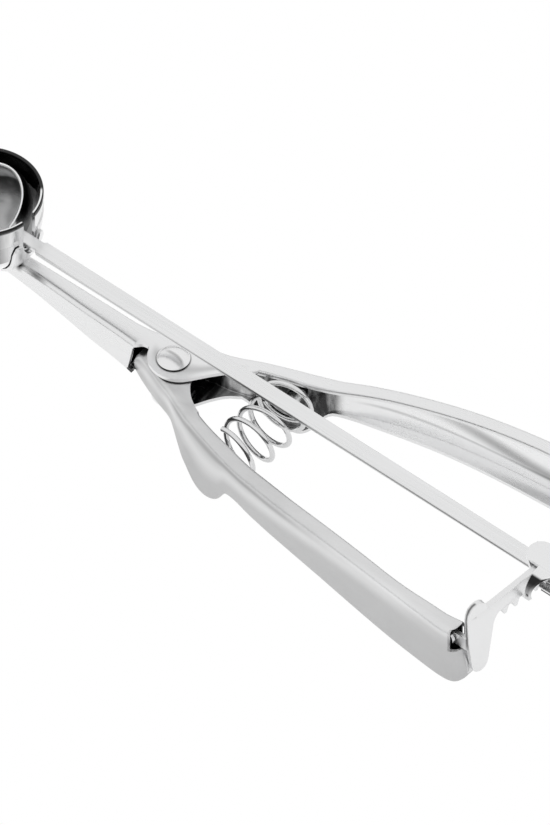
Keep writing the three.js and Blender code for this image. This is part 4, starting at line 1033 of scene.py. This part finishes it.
def handles(materials):
    """Both pressed handles with the plates that close them, and a dark sheet behind the window as painted
    shade.
    """
    slant_points, slant_faces = plate_shape(MOUTH_SLANT, MOUTH_NEAR, MOUTH_FAR)
    mouth_edge = (slant_points[:, [1, 0, 2]], slant_faces)
    hole = pin_shape(2, RIVET_RADIUS + GAP, -30, 0, (PIVOT_X, PIVOT_Y, 0))
    turn = np.linspace(-math.pi / 2, math.pi / 2, 49)
    room = BOWL_INNER + BOWL_WALL + GAP
    room_for_bowl = turned_shape(np.column_stack([room * np.cos(turn), room * np.sin(turn)]), 2, 96)
    stations = finer(SHANK_STATIONS, STATION_STEPS) + finer(FIXED_STATIONS + REAR_STATIONS, STATION_STEPS)
    cutters = [hole, room_for_bowl, mouth_edge, NOSE_ROOM]
    handle_sheet("fixed_handle_sheet", "fixed_handle", stations, fixed_section, cutters, materials)
    stations = finer(NOSE_STATIONS + REAR_STATIONS, STATION_STEPS)
    cutters = [hole, END_WINDOW]
    handle_sheet("moving_handle_sheet", "moving_handle", stations, moving_section, cutters, materials)
    # A dark sheet behind the window, put there as painted shade.
    shade_sheet = rounded_corner(SHADE_SHEET_Y, SHADE_SHEET_HIGH, SHADE_SHEET_HALF, 0, 180, 8)
    shade_sheet += rounded_corner(SHADE_SHEET_Y, SHADE_SHEET_LOW, SHADE_SHEET_HALF, 180, 360, 8)
    piece = new_piece("moving_handle_shade_sheet", *plate_shape(shade_sheet, SHADE_SHEET_START, SHADE_SHEET_STOP))
    finish_piece(piece, "moving_handle", materials, tone="shade_sheet")
    handle_end("fixed_handle_end", 1, "fixed_handle", materials)
    handle_end("moving_handle_end", -1, "moving_handle", materials)


def bowl_bracket(materials):
    """Spoon-shaped end of the shank: a patch of two balls round the bowl, whose width changes with height."""
    rows, columns = 48, 33
    heights = np.linspace(0, 1, rows)[:, None]
    across = np.linspace(-1, 1, columns)[None, :]
    foot, thick = -14.0, 0.8
    rise = np.clip(np.abs(across) / 0.62, 0, 1) ** 2
    fall = np.clip((np.abs(across) - 0.8) / 0.2, 0, 1) ** 2
    upper_edge = -3.4 + 4.1 * rise - 2.2 * fall
    z = foot + (upper_edge - foot) * heights
    level = (z - foot) / 14.6
    widening = np.sin(np.clip(level * 1.15, 0, 1) * math.pi / 2)
    half_width = 2.6 + 2.7 * widening - 0.6 * np.clip(level - 0.8, 0, 1)
    y = half_width * across
    grids = []
    for radius in (BOWL_INNER + BOWL_WALL + GAP + thick, BOWL_INNER + BOWL_WALL + GAP):
        x = np.sqrt(np.maximum(radius**2 - y**2 - z**2, 0.04))
        grids.append(np.stack([x, y, z], axis=-1))
    piece = new_piece("bowl_bracket_sheet", *sheet_shape(*grids))
    finish_piece(piece, "fixed_handle", materials)


def bowl(materials):
    """Half a ball with a straight turned hem above it and a rolled rim, slotted for the shaft."""
    outer = BOWL_INNER + BOWL_WALL
    turn = np.linspace(-math.pi / 2, 0, 49)
    profile = list(zip(outer * np.cos(turn), outer * np.sin(turn)))
    profile[0] = (0.0, -outer)
    edge = BOWL_INNER + HEM
    profile += [(outer, HEM_START - 0.3), (edge - 0.05, HEM_START), (edge, HEM_START + 0.1)]
    profile += [(edge, BOWL_RIM - 1.4), (edge - 0.22, BOWL_RIM - GROOVE), (edge - 0.22, BOWL_RIM - 0.95)]
    middle = HEM / 2
    roll = np.linspace(-0.25 * math.pi, math.pi, 20)
    roll_out = BOWL_INNER + middle + (middle - 0.02) * np.cos(roll)
    roll_up = BOWL_RIM - middle + (middle - 0.02) * np.sin(roll)
    profile += list(zip(roll_out, roll_up))
    profile += [(BOWL_INNER * math.cos(a), BOWL_INNER * math.sin(a)) for a in turn[::-1]]
    profile[-1] = (0.0, -BOWL_INNER)
    round_foot = np.linspace(math.pi, 2 * math.pi, 17)
    outline = [(SLOT_WIDTH / 2 * math.cos(a), SLOT_WIDTH / 2 * math.sin(a)) for a in round_foot]
    outline += [(SLOT_WIDTH / 2, 12.0), (-SLOT_WIDTH / 2, 12.0)]
    slot = plate_shape(outline, 8, 16)
    pin_hole = pin_shape(0, FRONT_PIN_RADIUS + GAP, -16, -10)
    piece = new_piece("bowl_shell", *turned_shape(profile, 2, 160), sharp=SHARP_RIM, cutters=[slot, pin_hole])
    finish_piece(piece, "bowl", materials)


def scraper(materials):
    """A strip of half an ellipse from pivot to pivot, bowed across, with a round tab at each end."""
    along = np.array([0, math.cos(SCRAPER_REST), math.sin(SCRAPER_REST)])
    across = np.array([0, -math.sin(SCRAPER_REST), math.cos(SCRAPER_REST)])
    tab = math.asin(SCRAPER_HALF_WIDTH / SCRAPER_REACH)
    turn = np.linspace(-tab, math.pi + tab, 161)[:, None]
    past = np.maximum(np.maximum(-turn, turn - math.pi), 0) / tab
    half = SCRAPER_HALF_WIDTH * np.sqrt(np.maximum(1 - past**2, 0.12))
    lean = np.linspace(-1, 1, 25)[None, :] * half / SCRAPER_REACH
    spine_x = SCRAPER_DEPTH * np.cos(turn) * np.cos(lean)
    spine_along = SCRAPER_REACH * np.sin(turn) * np.cos(lean)
    outer = (
        spine_x[..., None] * np.array([1.0, 0, 0])
        + spine_along[..., None] * along
        + (SCRAPER_REACH * np.sin(lean))[..., None] * across
    )
    inward = outer * np.array([(SCRAPER_REACH / SCRAPER_DEPTH) ** 2, 1, 1])
    inward /= np.linalg.norm(inward, axis=-1, keepdims=True)
    slot = block_shape(
        7, 13, -TANG_WIDTH / 2 - GAP, TANG_WIDTH / 2 + GAP, -BAR_THICK / 2 - GAP, BAR_THICK / 2 + GAP
    )
    pin_hole = pin_shape(0, FRONT_PIN_RADIUS + GAP, -13, -7)
    piece = new_piece(
        "scraper_strip", *sheet_shape(outer, outer - inward * SCRAPER_SHEET), cutters=[slot, pin_hole]
    )
    finish_piece(piece, "scraper", materials)


def spring(materials):
    """One round wire wound about an arc, evenly but for a closer end coil at the fixed handle's seat."""
    steps, sides = 64, 16
    whole = SPRING_TURNS + END_COIL_TURNS
    turn = np.linspace(0, whole, int(whole * steps) + 1)
    arc = SPRING_HALF_ANGLE * (2 * np.minimum(turn, SPRING_TURNS) / SPRING_TURNS - 1)
    arc += END_COIL_ANGLE * np.maximum(turn - SPRING_TURNS, 0) / END_COIL_TURNS
    outwards = np.column_stack([np.cos(arc), np.sin(arc), np.zeros_like(arc)])
    core = np.array([SPRING_X - SPRING_FAN, PIVOT_Y, SPRING_Z]) + outwards * SPRING_FAN
    winding = SPRING_START - 2 * math.pi * turn
    out = outwards * np.cos(winding)[:, None] + np.array([0, 0, 1.0]) * np.sin(winding)[:, None]
    centres = core + out * COIL_RADIUS
    tangent = np.gradient(centres, axis=0)
    tangent /= np.linalg.norm(tangent, axis=1, keepdims=True)
    out -= tangent * (out * tangent).sum(axis=1, keepdims=True)
    out /= np.linalg.norm(out, axis=1, keepdims=True)
    other = np.cross(tangent, out)
    round_wire = np.linspace(0, 2 * math.pi, sides, endpoint=False)
    ring = out[:, None] * np.cos(round_wire)[None, :, None]
    ring = ring + other[:, None] * np.sin(round_wire)[None, :, None]
    points = (centres[:, None] + ring * WIRE / 2).reshape(-1, 3)
    rows = len(turn)
    ends = [tuple(range(sides)), tuple(range(rows * sides - 1, (rows - 1) * sides - 1, -1))]
    faces = ring_faces(rows, sides) + ends
    piece = finish_piece(new_piece("handle_spring_wire", points, faces), "handle_spring", materials)
    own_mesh(piece)


def pivot_rivet(materials):
    """A rivet with a domed head above, a part of a ball, and a flat one below."""
    top = EAR_TOP + GAP
    bottom = EAR_BOTTOM - RIVET_WASHER - 2 * GAP
    foot = bottom - RIVET_FOOT
    ball = (RIVET_HEAD**2 + RIVET_DOME**2) / (2 * RIVET_DOME)
    radii = np.linspace(RIVET_HEAD - 0.12, 0, 20)
    dome = [(r, top + RIVET_DOME - ball + math.sqrt(ball**2 - r**2)) for r in radii]
    profile = [
        (0, foot), (RIVET_HEAD - 1.1, foot), (RIVET_HEAD - 0.6, foot + 0.4),
        (RIVET_HEAD - 0.6, bottom), (RIVET_RADIUS, bottom), (RIVET_RADIUS, top), (RIVET_HEAD - 0.1, top),
        (RIVET_HEAD, top + 0.08),
    ] + dome
    piece = new_piece("pivot_rivet_head", *turned_shape(profile, 2, 96, (PIVOT_X, PIVOT_Y, 0)))
    finish_piece(piece, "pivot_rivet", materials)


def main():
    """The camera, the looks, the light and every piece."""
    make_camera()
    materials = make_materials()
    make_world()
    make_floor()
    handles(materials)
    bowl_bracket(materials)
    bowl(materials)
    scraper(materials)
    spring(materials)
    pivot_rivet(materials)
    for node in ("drive_shaft", "rack", "rack_yoke", "pinion", "rack_rivet"):
        bevelled_copy(node, materials, BEVEL)
    for node in (
        "front_pivot_rivet", "front_pivot_washer", "tang_collar", "pinion_washer", "shaft_end_rivet",
        "pivot_sleeve", "rivet_washer", "fixed_spring_seat", "moving_spring_seat",
    ):
        bevelled_copy(node, materials, SMALL_BEVEL)
    bpy.context.scene.view_settings.view_transform = "Standard"


main()
